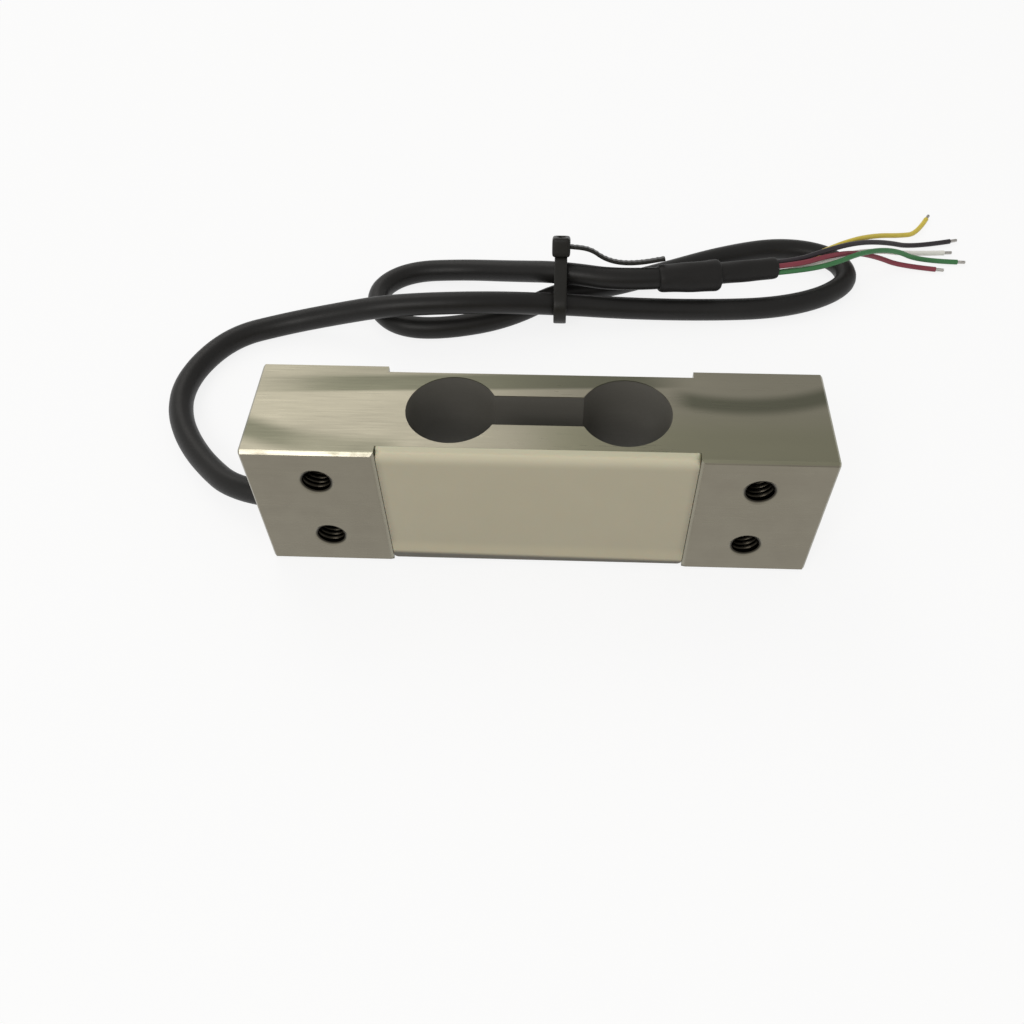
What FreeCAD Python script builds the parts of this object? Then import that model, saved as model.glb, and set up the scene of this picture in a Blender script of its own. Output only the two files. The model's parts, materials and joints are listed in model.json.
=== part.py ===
"""Single point load cell: a binocular spring block with its gauges, wiring, covers and cable.

Frame: +Z up, +X along the block away from the cable, +Y through its thickness. The block
stands on one long side face, and the origin is the middle of that face.
"""
import FreeCAD, Part
import Sketcher
import math
import os
from FreeCAD import Placement, Rotation, Vector

doc = FreeCAD.newDocument("LoadCell")

# ---------------------------------------------------------------- driving sizes (mm)
SIZES = [
    # the spring block
    ("block_length", 100),
    ("block_width", 30),
    ("block_thickness", 22),
    ("edge_chamfer", 0.6),
    ("end_break", 0.4),
    # binocular cut-out: two bores joined by a slot
    ("bore_diameter", 16),
    ("bore_spacing", 30),
    ("slot_gap", 7),
    # shallow recess for the gauges on both mounting faces
    ("recess_length", 54.4),
    ("recess_depth", 2),
    ("recess_break", 0.6),
    # four M6 tapped holes in each mounting face
    ("bolt_spacing_long", 76),
    ("bolt_spacing_wide", 15),
    ("thread_major", 6),
    ("tap_drill", 5),
    ("tap_depth", 7.5),
    ("countersink_width", 6.3),
    ("countersink_angle", 120),
    ("drill_angle", 118),
    # cable entry and wire ways
    ("exit_height", 5.5),
    ("seal_depth", 7),
    ("seal_wall", 0.5),
    ("passage_diameter", 3),
    ("riser_diameter", 2.4),
    ("riser_inset", 2),
    # moulded covers over the gauges
    ("cover_thickness", 1.4),
    ("cover_gap", 0.04),
    ("cover_edge_gap", 0.3),
    ("cover_corner", 2.2),
    ("cover_rim", 0.5),
    ("chamber_depth", 0.9),
    ("cover_end_wall", 0.5),
    ("cover_side_wall", 1.5),
    # foil strain gauge
    ("gauge_length", 9),
    ("gauge_width", 5),
    ("gauge_film", 0.08),
    ("foil_thickness", 0.05),
    ("grid_length", 5),
    ("grid_strands", 8),
    ("strand_width", 0.25),
    ("strand_pitch", 0.5),
    ("tab_length", 1.4),
    ("tab_width", 1.3),
    # terminal strip, solder joints and trim resistors
    ("strip_length", 9),
    ("strip_width", 7.4),
    ("strip_thickness", 0.3),
    ("joint_length", 1.1),
    ("joint_width", 0.8),
    ("joint_rise", 0.45),
    ("lead_pitch", 1.45),
    ("resistor_length", 1.6),
    ("resistor_width", 0.8),
    ("resistor_rise", 0.45),
    ("resistor_apart", 4),
    ("cap_length", 0.35),
    ("cap_proud", 0.04),
    # inner wiring
    ("lead_diameter", 0.8),
    ("lead_bend", 0.68),
    ("wire_diameter", 0.24),
    ("wire_bend", 0.48),
    ("wire_pitch", 0.6),
    ("wiring_gap", 0.05),
    # cable and its far end
    ("cable_diameter", 5),
    ("lay_gap", 0.1),
    ("sleeve_wall", 0.6),
    ("sleeve_length", 14.5),
    ("sleeve_grip", 6),
    ("collar_wall", 0.5),
    ("collar_length", 15.5),
    ("collar_lap", 2),
    ("core_diameter", 1.2),
    ("core_ring", 1.25),
    ("core_tuck", 4),
    ("core_straight", 8.8),
    ("tip_diameter", 0.8),
    ("tip_length", 5),
    # cable tie
    ("tie_width", 2.5),
    ("tie_thickness", 0.9),
    ("tie_slack", 0.8),
    ("tie_head", 4.4),
    ("tie_head_round", 0.66),
    ("tie_lean", -25),
    ("tail_thickness", 0.9),
    ("tail_width", 2.4),
]

sheet = doc.addObject("Spreadsheet::Sheet", "Sizes")
for row, (alias, value) in enumerate(SIZES, start=1):
    sheet.set(f"A{row}", alias)
    sheet.set(f"B{row}", str(value))
    sheet.setAlias(f"B{row}", alias)
doc.recompute()


def size(alias):
    """Read one driving size back from the sheet."""
    return float(sheet.get(alias))


# ---------------------------------------------------------------- sketch helpers
def new_body(name):
    """Start one sub-part that is built from features."""
    body = doc.addObject("PartDesign::Body", name)
    body.Label = name
    return body


def sketch_on(body, name, role, shift):
    """Sketch on an origin plane of its own body, moved by expressions along local x, y, z."""
    plane = next(f for f in body.Origin.OriginFeatures if f.Role == role)
    sketch = body.newObject("Sketcher::SketchObject", name)
    sketch.AttachmentSupport = [(plane, "")]
    sketch.MapMode = "FlatFace"
    for axis, rule in shift.items():
        sketch.setExpression(f"AttachmentOffset.Base.{axis}", rule)
    return sketch


def bind(sketch, kind, args, rule, start):
    """Add one dimension to a sketch and tie it to a rule of the sheet."""
    index = sketch.addConstraint(Sketcher.Constraint(kind, *args, start))
    sketch.setExpression(f"Constraints[{index}]", rule)


def add_polygon(sketch, corners):
    """Draw a closed outline and join its corners; returns the index of its first line."""
    first = sketch.GeometryCount
    count = len(corners)
    for i in range(count):
        a, b = corners[i], corners[(i + 1) % count]
        sketch.addGeometry(Part.LineSegment(Vector(*a, 0), Vector(*b, 0)), False)
    for i in range(count):
        nxt = first + (i + 1) % count
        sketch.addConstraint(Sketcher.Constraint("Coincident", first + i, 2, nxt, 1))
    return first


def add_rectangle(sketch, wide, high, rule_wide, rule_high):
    """Rectangle centred on the sketch's own origin, with both sides tied to the sheet."""
    x, y = wide / 2, high / 2
    first = add_polygon(sketch, [(-x, -y), (x, -y), (x, y), (-x, y)])
    for side, kind in enumerate(("Horizontal", "Vertical", "Horizontal", "Vertical")):
        sketch.addConstraint(Sketcher.Constraint(kind, first + side))
    sketch.addConstraint(Sketcher.Constraint("Symmetric", first, 1, first + 1, 2, -1, 1))
    bind(sketch, "DistanceX", (first, 1, first, 2), rule_wide, wide)
    bind(sketch, "DistanceY", (first + 1, 1, first + 1, 2), rule_high, high)


def add_circle(sketch, x, y, diameter, rule_x, rule_y, rule_diameter):
    """Circle at a signed place; the rules give the distance from the sketch's origin."""
    index = sketch.addGeometry(Part.Circle(Vector(x, y, 0), Vector(0, 0, 1), diameter / 2), False)
    bind(sketch, "Diameter", (index,), rule_diameter, diameter)
    for kind, place, rule, sides in (("DistanceX", x, rule_x, -2), ("DistanceY", y, rule_y, -1)):
        if rule is None:
            sketch.addConstraint(Sketcher.Constraint("PointOnObject", index, 3, sides))
        elif place > 0:
            bind(sketch, kind, (-1, 1, index, 3), rule, abs(place))
        else:
            bind(sketch, kind, (index, 3, -1, 1), rule, abs(place))


def pad(body, sketch, name, rule, reverse=False):
    """Raise a sketch by a rule of the sheet."""
    feature = body.newObject("PartDesign::Pad", name)
    feature.Profile = sketch
    feature.Reversed = reverse
    feature.setExpression("Length", rule)
    return feature


def pocket(body, sketch, name, rule=None, reverse=False):
    """Cut a sketch to a depth from the sheet, or right through both ways."""
    feature = body.newObject("PartDesign::Pocket", name)
    feature.Profile = sketch
    if rule is None:
        feature.Type = "ThroughAll"
        feature.Midplane = True
    else:
        feature.setExpression("Length", rule)
        feature.Reversed = reverse
    return feature


def tapped_holes(body, name, face_shift, reverse, end, depth):
    """Two countersunk M6 tapping holes with drill points, at one end of a mounting face."""
    sketch = sketch_on(body, name + "_centres", "XZ_Plane",
                       {"y": "Sizes.block_width / 2", "z": face_shift})
    for sign_z in (-1, 1):
        add_circle(sketch, end * size("bolt_spacing_long") / 2,
                   sign_z * size("bolt_spacing_wide") / 2, size("tap_drill"),
                   "Sizes.bolt_spacing_long / 2", "Sizes.bolt_spacing_wide / 2",
                   "Sizes.tap_drill")
    doc.recompute()
    hole = body.newObject("PartDesign::Hole", name)
    hole.Profile = sketch
    hole.Reversed = reverse
    hole.DepthType = "Dimension"
    hole.DrillPoint = "Angled"
    hole.setExpression("DrillPointAngle", "Sizes.drill_angle")
    hole.HoleCutType = "Countersink"
    hole.setExpression("HoleCutCountersinkAngle", "Sizes.countersink_angle")
    hole.setExpression("Diameter", "Sizes.tap_drill")
    hole.setExpression("Depth", depth)
    hole.setExpression("HoleCutDiameter", "Sizes.countersink_width")
    doc.recompute()
    return hole


# ---------------------------------------------------------------- spring element
def make_spring_element():
    """Aluminium block: bar, end breaks, binocular cut-out, gauge recesses, holes, wire ways."""
    body = new_body("spring_element")

    section = sketch_on(body, "bar_section", "YZ_Plane", {"y": "Sizes.block_width / 2"})
    half_y, half_z = size("block_thickness") / 2, size("block_width") / 2
    cut = size("edge_chamfer")
    corners = []
    for sign_y, sign_z in ((-1, -1), (1, -1), (1, 1), (-1, 1)):
        flat = (sign_y * (half_y - cut), sign_z * half_z)
        tall = (sign_y * half_y, sign_z * (half_z - cut))
        corners += [tall, flat] if sign_y * sign_z > 0 else [flat, tall]
    first = add_polygon(section, corners)
    for i in range(8):
        if i % 4 == 1:
            section.addConstraint(Sketcher.Constraint("Horizontal", first + i))
        elif i % 4 == 3:
            section.addConstraint(Sketcher.Constraint("Vertical", first + i))
    section.addConstraint(Sketcher.Constraint("Symmetric", first, 1, first + 4, 1, -1, 1))
    bind(section, "DistanceX", (first + 7, 1, first + 2, 2), "Sizes.block_thickness", 2 * half_y)
    bind(section, "DistanceY", (first + 1, 1, first + 4, 2), "Sizes.block_width", 2 * half_z)
    for i in (0, 2, 4, 6):
        pair = (first + i, 1, first + i, 2)
        dx = corners[(i + 1) % 8][0] - corners[i][0]
        dy = corners[(i + 1) % 8][1] - corners[i][1]
        across = pair if dx > 0 else (first + i, 2, first + i, 1)
        up = pair if dy > 0 else (first + i, 2, first + i, 1)
        if i in (0, 4, 6):
            bind(section, "DistanceX", across, "Sizes.edge_chamfer", cut)
        if i in (0, 2, 6):
            bind(section, "DistanceY", up, "Sizes.edge_chamfer", cut)
    bar = pad(body, section, "bar", "Sizes.block_length")
    bar.Midplane = True
    doc.recompute()

    ends = [f"Face{i + 1}" for i, face in enumerate(bar.Shape.Faces)
            if abs(abs(face.CenterOfMass.x) - size("block_length") / 2) < 1e-6]
    breaks = body.newObject("PartDesign::Chamfer", "end_breaks")
    breaks.Base = (bar, ends)
    breaks.setExpression("Size", "Sizes.end_break")

    bores = sketch_on(body, "bore_pair", "XY_Plane", {})
    for sign in (-1, 1):
        add_circle(bores, sign * size("bore_spacing") / 2, 0, size("bore_diameter"),
                   "Sizes.bore_spacing / 2", None, "Sizes.bore_diameter")
    pocket(body, bores, "binocular_bores")

    slot = sketch_on(body, "slot_outline", "XY_Plane", {})
    add_rectangle(slot, size("bore_spacing"), size("slot_gap"), "Sizes.bore_spacing",
                  "Sizes.slot_gap")
    pocket(body, slot, "binocular_slot")

    for name, sign in (("front_recess", "-"), ("rear_recess", "")):
        outline = sketch_on(body, name + "_outline", "XY_Plane",
                            {"y": f"{sign}Sizes.block_thickness / 2"})
        add_rectangle(outline, size("recess_length"), 2 * size("recess_depth"),
                      "Sizes.recess_length", "2 * Sizes.recess_depth")
        recess = pocket(body, outline, name)
    doc.recompute()
    lips = [f"Edge{i + 1}" for i, edge in enumerate(recess.Shape.Edges)
            if abs(abs(edge.CenterOfMass.x) - size("recess_length") / 2) < 1e-6
            and abs(abs(edge.CenterOfMass.y) - size("block_thickness") / 2) < 1e-6]
    lip_breaks = body.newObject("PartDesign::Chamfer", "recess_breaks")
    lip_breaks.Base = (recess, lips)
    lip_breaks.setExpression("Size", "Sizes.recess_break")
    doc.recompute()

    # the fixed end is tapped from the front, clear of the wire way; the live end right through
    front, rear = "Sizes.block_thickness / 2", "-Sizes.block_thickness / 2"
    tapped_holes(body, "fixed_end_holes", front, False, -1, "Sizes.tap_depth")
    tapped_holes(body, "live_end_holes_front", front, False, 1, "Sizes.block_thickness / 2")
    tapped_holes(body, "live_end_holes_rear", rear, True, 1, "Sizes.block_thickness / 2")

    # the cable bore in the end face, the passage behind it, and the risers to the recesses
    end_shift = {"y": "Sizes.exit_height", "z": "-Sizes.block_length / 2"}
    entry = sketch_on(body, "cable_bore_outline", "YZ_Plane", end_shift)
    add_circle(entry, 0, 0, size("cable_diameter") + 2 * size("seal_wall"), None, None,
               "Sizes.cable_diameter + 2 * Sizes.seal_wall")
    pocket(body, entry, "cable_bore", "Sizes.seal_depth", True)
    way = sketch_on(body, "passage_outline", "YZ_Plane", end_shift)
    add_circle(way, 0, 0, size("passage_diameter"), None, None, "Sizes.passage_diameter")
    pocket(body, way, "lead_passage", "(Sizes.block_length - Sizes.recess_length) / 2"
           " + Sizes.riser_inset", True)
    riser = sketch_on(body, "lead_riser_outline", "XZ_Plane",
                      {"x": "Sizes.riser_inset - Sizes.recess_length / 2",
                       "y": "Sizes.exit_height", "z": "Sizes.block_thickness / 2"})
    add_circle(riser, 0, 0, size("riser_diameter"), None, None, "Sizes.riser_diameter")
    pocket(body, riser, "lead_riser", "(Sizes.block_thickness + Sizes.passage_diameter) / 2")
    link = sketch_on(body, "link_riser_outline", "XZ_Plane",
                     {"x": "Sizes.recess_length / 2 - Sizes.riser_inset",
                      "y": "Sizes.exit_height"})
    add_circle(link, 0, 0, size("riser_diameter"), None, None, "Sizes.riser_diameter")
    pocket(body, link, "link_riser")
    doc.recompute()
    return body


# ---------------------------------------------------------------- places on the two faces
def seat(body, side, rule_x, rule_z, half_turn=False):
    """Put a piece drawn flat (its z outward) on a recess floor: side -1 front, +1 rear."""
    turn = Rotation(Vector(1, 0, 0), 90)
    if side > 0:
        turn = Rotation(Vector(0, 0, 1), 180).multiply(turn)
    if half_turn:
        turn = turn.multiply(Rotation(Vector(0, 0, 1), 180))
    body.Placement = Placement(Vector(0, 0, 0), turn)
    sign = "" if side > 0 else "-"
    body.setExpression("Placement.Base.x", rule_x)
    body.setExpression("Placement.Base.y",
                       f"{sign}(Sizes.block_thickness / 2 - Sizes.recess_depth)")
    body.setExpression("Placement.Base.z", rule_z)


def make_cover(name, side):
    """Moulded silicone cover: a soft-edged pad with a shallow chamber for the wiring."""
    body = new_body(name)
    outline = sketch_on(body, name + "_outline", "XY_Plane", {})
    add_rectangle(outline, size("recess_length") - 2 * size("cover_gap"),
                  size("block_width") - 2 * size("cover_edge_gap"),
                  "Sizes.recess_length - 2 * Sizes.cover_gap",
                  "Sizes.block_width - 2 * Sizes.cover_edge_gap")
    slab = pad(body, outline, name + "_slab", "Sizes.cover_thickness")
    doc.recompute()
    upright = [f"Edge{i + 1}" for i, edge in enumerate(slab.Shape.Edges)
               if abs(edge.tangentAt(edge.FirstParameter).z) > 0.9]
    corners = body.newObject("PartDesign::Fillet", name + "_corners")
    corners.Base = (slab, upright)
    corners.setExpression("Radius", "Sizes.cover_corner")
    doc.recompute()
    top = [f"Face{i + 1}" for i, face in enumerate(corners.Shape.Faces)
           if abs(face.CenterOfMass.z - size("cover_thickness")) < 1e-6]
    rim = body.newObject("PartDesign::Fillet", name + "_rim")
    rim.Base = (corners, top)
    rim.setExpression("Radius", "Sizes.cover_rim")
    chamber = sketch_on(body, name + "_chamber_outline", "XY_Plane", {})
    add_rectangle(chamber,
                  size("recess_length") - 2 * (size("cover_gap") + size("cover_end_wall")),
                  size("block_width") - 2 * size("cover_side_wall"),
                  "Sizes.recess_length - 2 * (Sizes.cover_gap + Sizes.cover_end_wall)",
                  "Sizes.block_width - 2 * Sizes.cover_side_wall")
    pocket(body, chamber, name + "_chamber", "Sizes.chamber_depth", True)
    seat(body, side, "0", "Sizes.block_width / 2")
    doc.recompute()
    return body


def make_gauge(name, side, hand):
    """Foil strain gauge: carrier film, a row of grid strands, two end loops and two tabs.

    It sits over the thin wall of one bore, hand -1 left or +1 right, tabs to the middle.
    """
    body = new_body(name)
    film = sketch_on(body, name + "_film_outline", "XY_Plane", {})
    add_rectangle(film, size("gauge_length"), size("gauge_width"), "Sizes.gauge_length",
                  "Sizes.gauge_width")
    pad(body, film, name + "_film", "Sizes.gauge_film")

    spread = "(Sizes.grid_strands - 1) * Sizes.strand_pitch"
    strand = sketch_on(body, name + "_strand_outline", "XY_Plane",
                       {"y": f"-({spread}) / 2", "z": "Sizes.gauge_film"})
    add_rectangle(strand, size("grid_length"), size("strand_width"), "Sizes.grid_length",
                  "Sizes.strand_width")
    first = pad(body, strand, name + "_strand", "Sizes.foil_thickness")
    doc.recompute()
    rows = body.newObject("PartDesign::LinearPattern", name + "_strands")
    rows.Originals = [first]
    rows.Direction = (next(f for f in body.Origin.OriginFeatures if f.Role == "Y_Axis"), [""])
    rows.setExpression("Length", spread)
    rows.setExpression("Occurrences", "Sizes.grid_strands")
    body.Tip = rows

    for end in (-1, 1):
        sign = "-" if end < 0 else ""
        loops = sketch_on(body, f"{name}_loop_outline_{'ab'[end > 0]}", "XY_Plane",
                          {"x": f"{sign}(Sizes.grid_length + Sizes.strand_width) / 2",
                           "z": "Sizes.gauge_film"})
        add_rectangle(loops, size("strand_width"), size("strand_pitch") * size("grid_strands"),
                      "Sizes.strand_width", "Sizes.strand_pitch * Sizes.grid_strands")
        pad(body, loops, f"{name}_loops_{'ab'[end > 0]}", "Sizes.foil_thickness")
        tabs = sketch_on(body, f"{name}_tab_outline_{'ab'[end > 0]}", "XY_Plane",
                         {"x": "Sizes.gauge_length / 2 - Sizes.tab_length / 2",
                          "y": f"{sign}Sizes.tab_width", "z": "Sizes.gauge_film"})
        add_rectangle(tabs, size("tab_length"), size("tab_width"), "Sizes.tab_length",
                      "Sizes.tab_width")
        pad(body, tabs, f"{name}_tab_{'ab'[end > 0]}", "Sizes.foil_thickness")
    sign = "-" if hand < 0 else ""
    seat(body, side, f"{sign}Sizes.bore_spacing / 2", "Sizes.block_width / 2", hand == -side)
    doc.recompute()
    return body


def raise_row(body, name, long, rules_at, rule_long, rule_wide, rule_rise, copies, axis):
    """Pad one small block and repeat it along an axis of the body at the lead pitch."""
    rule_x, rule_y = rules_at
    outline = sketch_on(body, name + "_outline", "XY_Plane",
                        {"x": rule_x, "y": rule_y, "z": "Sizes.strip_thickness"})
    add_rectangle(outline, long, long, rule_long, rule_wide)
    block = pad(body, outline, name, rule_rise)
    doc.recompute()
    row = body.newObject("PartDesign::LinearPattern", name + "_row")
    row.Originals = [block]
    row.Direction = (next(f for f in body.Origin.OriginFeatures if f.Role == axis), [""])
    row.Occurrences = copies
    row.setExpression("Length", f"{copies - 1} * Sizes.lead_pitch")
    body.Tip = row
    doc.recompute()


def make_terminal_strip(name, side):
    """Bonded terminal board with solder joints for the leads, links and gauge wires."""
    body = new_body(name)
    board = sketch_on(body, name + "_board_outline", "XY_Plane", {})
    add_rectangle(board, size("strip_length"), size("strip_width"), "Sizes.strip_length",
                  "Sizes.strip_width")
    pad(body, board, name + "_board", "Sizes.strip_thickness")
    edge_x = "(Sizes.strip_length - Sizes.joint_length) / 2"
    edge_y = "(Sizes.strip_width - Sizes.joint_length) / 2"
    joint = size("joint_length")
    ends = ("Sizes.joint_length", "Sizes.joint_width", "Sizes.joint_rise")
    tops = ("Sizes.joint_width", "Sizes.joint_length", "Sizes.joint_rise")
    if side < 0:
        raise_row(body, name + "_lead_joints", joint,
                  ("-" + edge_x, "-1.5 * Sizes.lead_pitch"), *ends, 4, "Y_Axis")
    link_sign = "" if side < 0 else "-"
    raise_row(body, name + "_link_joints", joint,
              (link_sign + edge_x, "-Sizes.lead_pitch"), *ends, 3, "Y_Axis")
    raise_row(body, name + "_gauge_joints", joint,
              ("-1.5 * Sizes.lead_pitch", edge_y), *tops, 4, "X_Axis")
    seat(body, side, "0", "Sizes.exit_height")
    doc.recompute()
    return body


def make_resistor(name, hand):
    """Trim resistor chip on the front board: a ceramic slab between two metal end caps."""
    slab = doc.addObject("Part::Box", name + "_slab")
    slab.setExpression("Length", "Sizes.resistor_length")
    slab.setExpression("Width", "Sizes.resistor_rise - Sizes.cap_proud")
    slab.setExpression("Height", "Sizes.resistor_width - 2 * Sizes.cap_proud")
    slab.setExpression("Placement.Base.y", "Sizes.cap_proud")
    slab.setExpression("Placement.Base.z", "Sizes.cap_proud")
    caps = []
    for end in (0, 1):
        cap = doc.addObject("Part::Box", f"{name}_cap_{'ab'[end]}")
        cap.setExpression("Length", "Sizes.cap_length")
        cap.setExpression("Width", "Sizes.resistor_rise")
        cap.setExpression("Height", "Sizes.resistor_width")
        cap.setExpression("Placement.Base.x",
                          f"{end} * (Sizes.resistor_length - Sizes.cap_length)")
        caps.append(cap)
    chip = doc.addObject("Part::MultiFuse", name)
    chip.Label = name
    chip.Shapes = [slab] + caps
    sign = "-" if hand < 0 else ""
    chip.setExpression("Placement.Base.x",
                       f"{sign}Sizes.resistor_apart / 2 - Sizes.resistor_length / 2")
    chip.setExpression("Placement.Base.y", "-(Sizes.block_thickness / 2 - Sizes.recess_depth"
                       " + Sizes.strip_thickness + Sizes.resistor_rise)")
    chip.setExpression("Placement.Base.z", "Sizes.exit_height - Sizes.resistor_width")
    doc.recompute()
    return chip


# ---------------------------------------------------------------- wires and tubes
# the most of a straight run that the arc at one of its ends takes up
ARC_SHARE = 0.45


def rounded_path(points, radius=None):
    """Straight runs joined by tangent arcs; without a radius each arc is as large as fits."""
    edges = []
    last = points[0]
    for before, corner, after in zip(points, points[1:], points[2:]):
        back, ahead = before.sub(corner), after.sub(corner)
        half_turn = (math.pi - back.getAngle(ahead)) / 2
        if radius is None:
            bend = ARC_SHARE * min(back.Length, ahead.Length) / math.tan(half_turn)
        else:
            bend = radius
        reach = bend * math.tan(half_turn)
        start = corner.add(Vector(back).normalize().multiply(reach))
        end = corner.add(Vector(ahead).normalize().multiply(reach))
        inward = Vector(back).normalize().add(Vector(ahead).normalize()).normalize()
        middle = corner.add(inward.multiply(bend / math.cos(half_turn) - bend))
        edges.append(Part.LineSegment(last, start).toShape())
        edges.append(Part.Arc(start, middle, end).toShape())
        last = end
    edges.append(Part.LineSegment(last, points[-1]).toShape())
    return Part.Wire(edges)


def tube(points, diameter, radius=None):
    """Solid round tube along a rounded path, with that path."""
    path = rounded_path(points, radius)
    ring = Part.Wire([Part.Circle(points[0], points[1].sub(points[0]), diameter / 2).toShape()])
    solid = path.makePipeShell([ring], True, False)
    return solid, path


def add_feature(name, shape):
    """Keep a finished shape as a sub-part of the document."""
    feature = doc.addObject("Part::Feature", name)
    feature.Label = name
    feature.Shape = shape
    feature.Placement = Placement()
    return feature


floor_y = size("block_thickness") / 2 - size("recess_depth")
end_x = size("block_length") / 2
riser_x = size("recess_length") / 2 - size("riser_inset")
board_x = size("strip_length") / 2
board_top = size("exit_height") + size("strip_width") / 2


def make_leads():
    """Four insulated leads from the cable through the passage and riser to the front board."""
    apart = (size("lead_diameter") + size("wiring_gap")) / 2 + size("wiring_gap") / 2
    run_y = -(floor_y + size("lead_diameter") / 2 + size("wiring_gap"))
    start_x = size("seal_depth") - end_x
    for rank, colour in enumerate(("red", "black", "green", "white")):
        row = rank - 1.5
        side = 1 if row > 0 else -1
        outer = -1 if abs(row) > 1 else 1
        z = size("exit_height") + side * apart
        joint_z = size("exit_height") + row * size("lead_pitch")
        x = outer * apart - riser_x
        points = [Vector(start_x, outer * apart, z), Vector(x, outer * apart, z),
                  Vector(x, run_y, z)]
        if outer < 0:
            points.append(Vector(x, run_y, joint_z))
            points.append(Vector(-board_x, run_y, joint_z))
        else:
            points.append(Vector(-(board_x + riser_x) / 2, run_y, joint_z))
            points.append(Vector(-board_x, run_y, joint_z))
        lead, _ = tube(points, size("lead_diameter"), size("lead_bend"))
        add_feature("lead_" + colour, lead)


def make_bridge_wires(name, side):
    """Four fine wires from the gauge tabs of one face to the top row of its board."""
    wire = size("wire_diameter")
    y = side * (floor_y + size("gauge_film") + size("foil_thickness") + wire / 2)
    tab_x = size("bore_spacing") / 2 - (size("gauge_length") - size("tab_length")) / 2
    middle_z = size("block_width") / 2
    solids = []
    for hand in (-1, 1):
        for tab in (-1, 1):
            across = 1 if tab > 0 else 3
            joint_x = hand * across * size("lead_pitch") / 2
            tab_z = middle_z + tab * size("tab_width")
            points = [Vector(hand * tab_x, y, tab_z), Vector(joint_x, y, tab_z),
                      Vector(joint_x, y, board_top)]
            solids.append(tube(points, wire, size("wire_bend"))[0])
    add_feature(name, Part.makeCompound(solids))


def make_link_wires():
    """Three fine wires that cross through the block and join the two boards."""
    wire = size("wire_diameter")
    rise = size("strip_thickness") + size("joint_rise") / 2
    solids = []
    for row in (-1, 0, 1):
        joint_z = size("exit_height") + row * size("lead_pitch")
        cross_z = size("exit_height") + row * size("wire_pitch")
        points = []
        for side in (-1, 1):
            y = side * (floor_y + rise)
            leg = [Vector(board_x, y, joint_z), Vector(riser_x, y, cross_z)]
            points += leg if side < 0 else leg[::-1]
        solids.append(tube(points, wire, size("wire_bend"))[0])
    add_feature("link_wires", Part.makeCompound(solids))


def make_cable_seal():
    """Sealing ring that fills the end bore round the cable, flush with the end face."""
    outside = doc.addObject("Part::Cylinder", "seal_outside")
    inside = doc.addObject("Part::Cylinder", "seal_inside")
    outside.setExpression("Radius", "Sizes.cable_diameter / 2 + Sizes.seal_wall")
    inside.setExpression("Radius", "Sizes.cable_diameter / 2")
    for cylinder in (outside, inside):
        cylinder.setExpression("Height", "Sizes.seal_depth")
    ring = doc.addObject("Part::Cut", "cable_seal")
    ring.Label = "cable_seal"
    ring.Base, ring.Tool = outside, inside
    ring.Placement = Placement(Vector(0, 0, 0), Rotation(Vector(0, 1, 0), 90))
    ring.setExpression("Placement.Base.x", "-Sizes.block_length / 2")
    ring.setExpression("Placement.Base.z", "Sizes.exit_height")
    doc.recompute()
    return ring


# ---------------------------------------------------------------- the cable as it lies
rest = size("cable_diameter") / 2 + size("lay_gap")
exit_z = size("exit_height")

CABLE_ROUTE = [
    # out of the end face, down to the surface and round the left-hand bow
    (size("seal_depth") - end_x, 0, exit_z),
    (-59, 0, exit_z),
    (-70.5, 12, rest),
    (-77.5, 24, rest),
    (-80, 38.5, rest),
    (-75, 51, rest),
    (-61.5, 57, rest),
    # front strand, over the left fold, through the tie and down again
    (-48.5, 56.5, 5.2),
    (-35, 51.8, 9.2),
    (-14, 53, 9.2),
    (3, 58.8, 5.8),
    (20, 60.5, 3.6),
    (38, 60.7, rest),
    (55, 61.2, rest),
    # right-hand fold
    (66, 65, rest),
    (73, 74, rest),
    (70, 83, rest),
    (58, 86.5, rest),
    # low strand, under the sleeve and through the tie
    (43, 82.5, rest),
    (27, 75, rest),
    (14, 68.3, 3.4),
    (3, 64.7, 4.7),
    (-9, 57.5, rest),
    # left-hand fold, under the front strand
    (-23, 53.3, rest),
    (-33.5, 53.5, rest),
    (-40, 59.5, rest),
    (-40.5, 68, rest),
    (-33.5, 74.3, rest),
    # last strand, over the low one and into the sleeve
    (-21, 74.5, 3.2),
    (-8.5, 70.5, 6),
    (3, 64.4, 10.6),
    (18, 62.4, 9.8),
    (31.3, 64.6, 9.8),
]

core_rest = size("core_diameter") / 2 + size("lay_gap")

CORE_ROUTES = {
    # each core from the collar to its bare end, over the right-hand fold and down
    "yellow": [(64.5, 74.7, 9.9), (72.5, 80.3, 9.3), (80.5, 86.8, 6.2), (88.7, 92.4, 2.4),
               (94, 95.8, core_rest), (96.4, 99.8, core_rest)],
    "black": [(65, 73.1, 11.5), (74, 79.5, 9.3), (83, 85.5, 5.2), (91.5, 90, core_rest),
              (98.9, 92, core_rest)],
    "red": [(65, 71.6, 10.9), (72.8, 77, 8.2), (80.3, 80.8, 4.2), (86.8, 82.3, core_rest),
            (92.6, 81.4, core_rest)],
    "green": [(66, 70.3, 9.4), (75, 76.3, 9), (84, 81.4, 6), (92, 84.4, core_rest),
              (98.6, 84.2, core_rest)],
    "white": [(64.5, 72.8, 8.6), (73, 78.3, 7.2), (81.5, 83.7, 4), (89.5, 87.2, core_rest),
              (96.2, 87.6, core_rest)],
}

# places of the cores round the bundle, in degrees from the back, rising towards the top
CORE_ANGLES = {"yellow": -18, "black": 54, "red": 126, "green": 198, "white": 270}


# where the tie goes round the strands, and its tail as (along X, outward) from the head's middle
TIE_PLACE = 3
TAIL_PROFILE = [(1.3, 0.1), (6.6, -0.5), (11.4, -3.2), (17.6, -3.4), (23.8, -2.3)]


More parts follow.
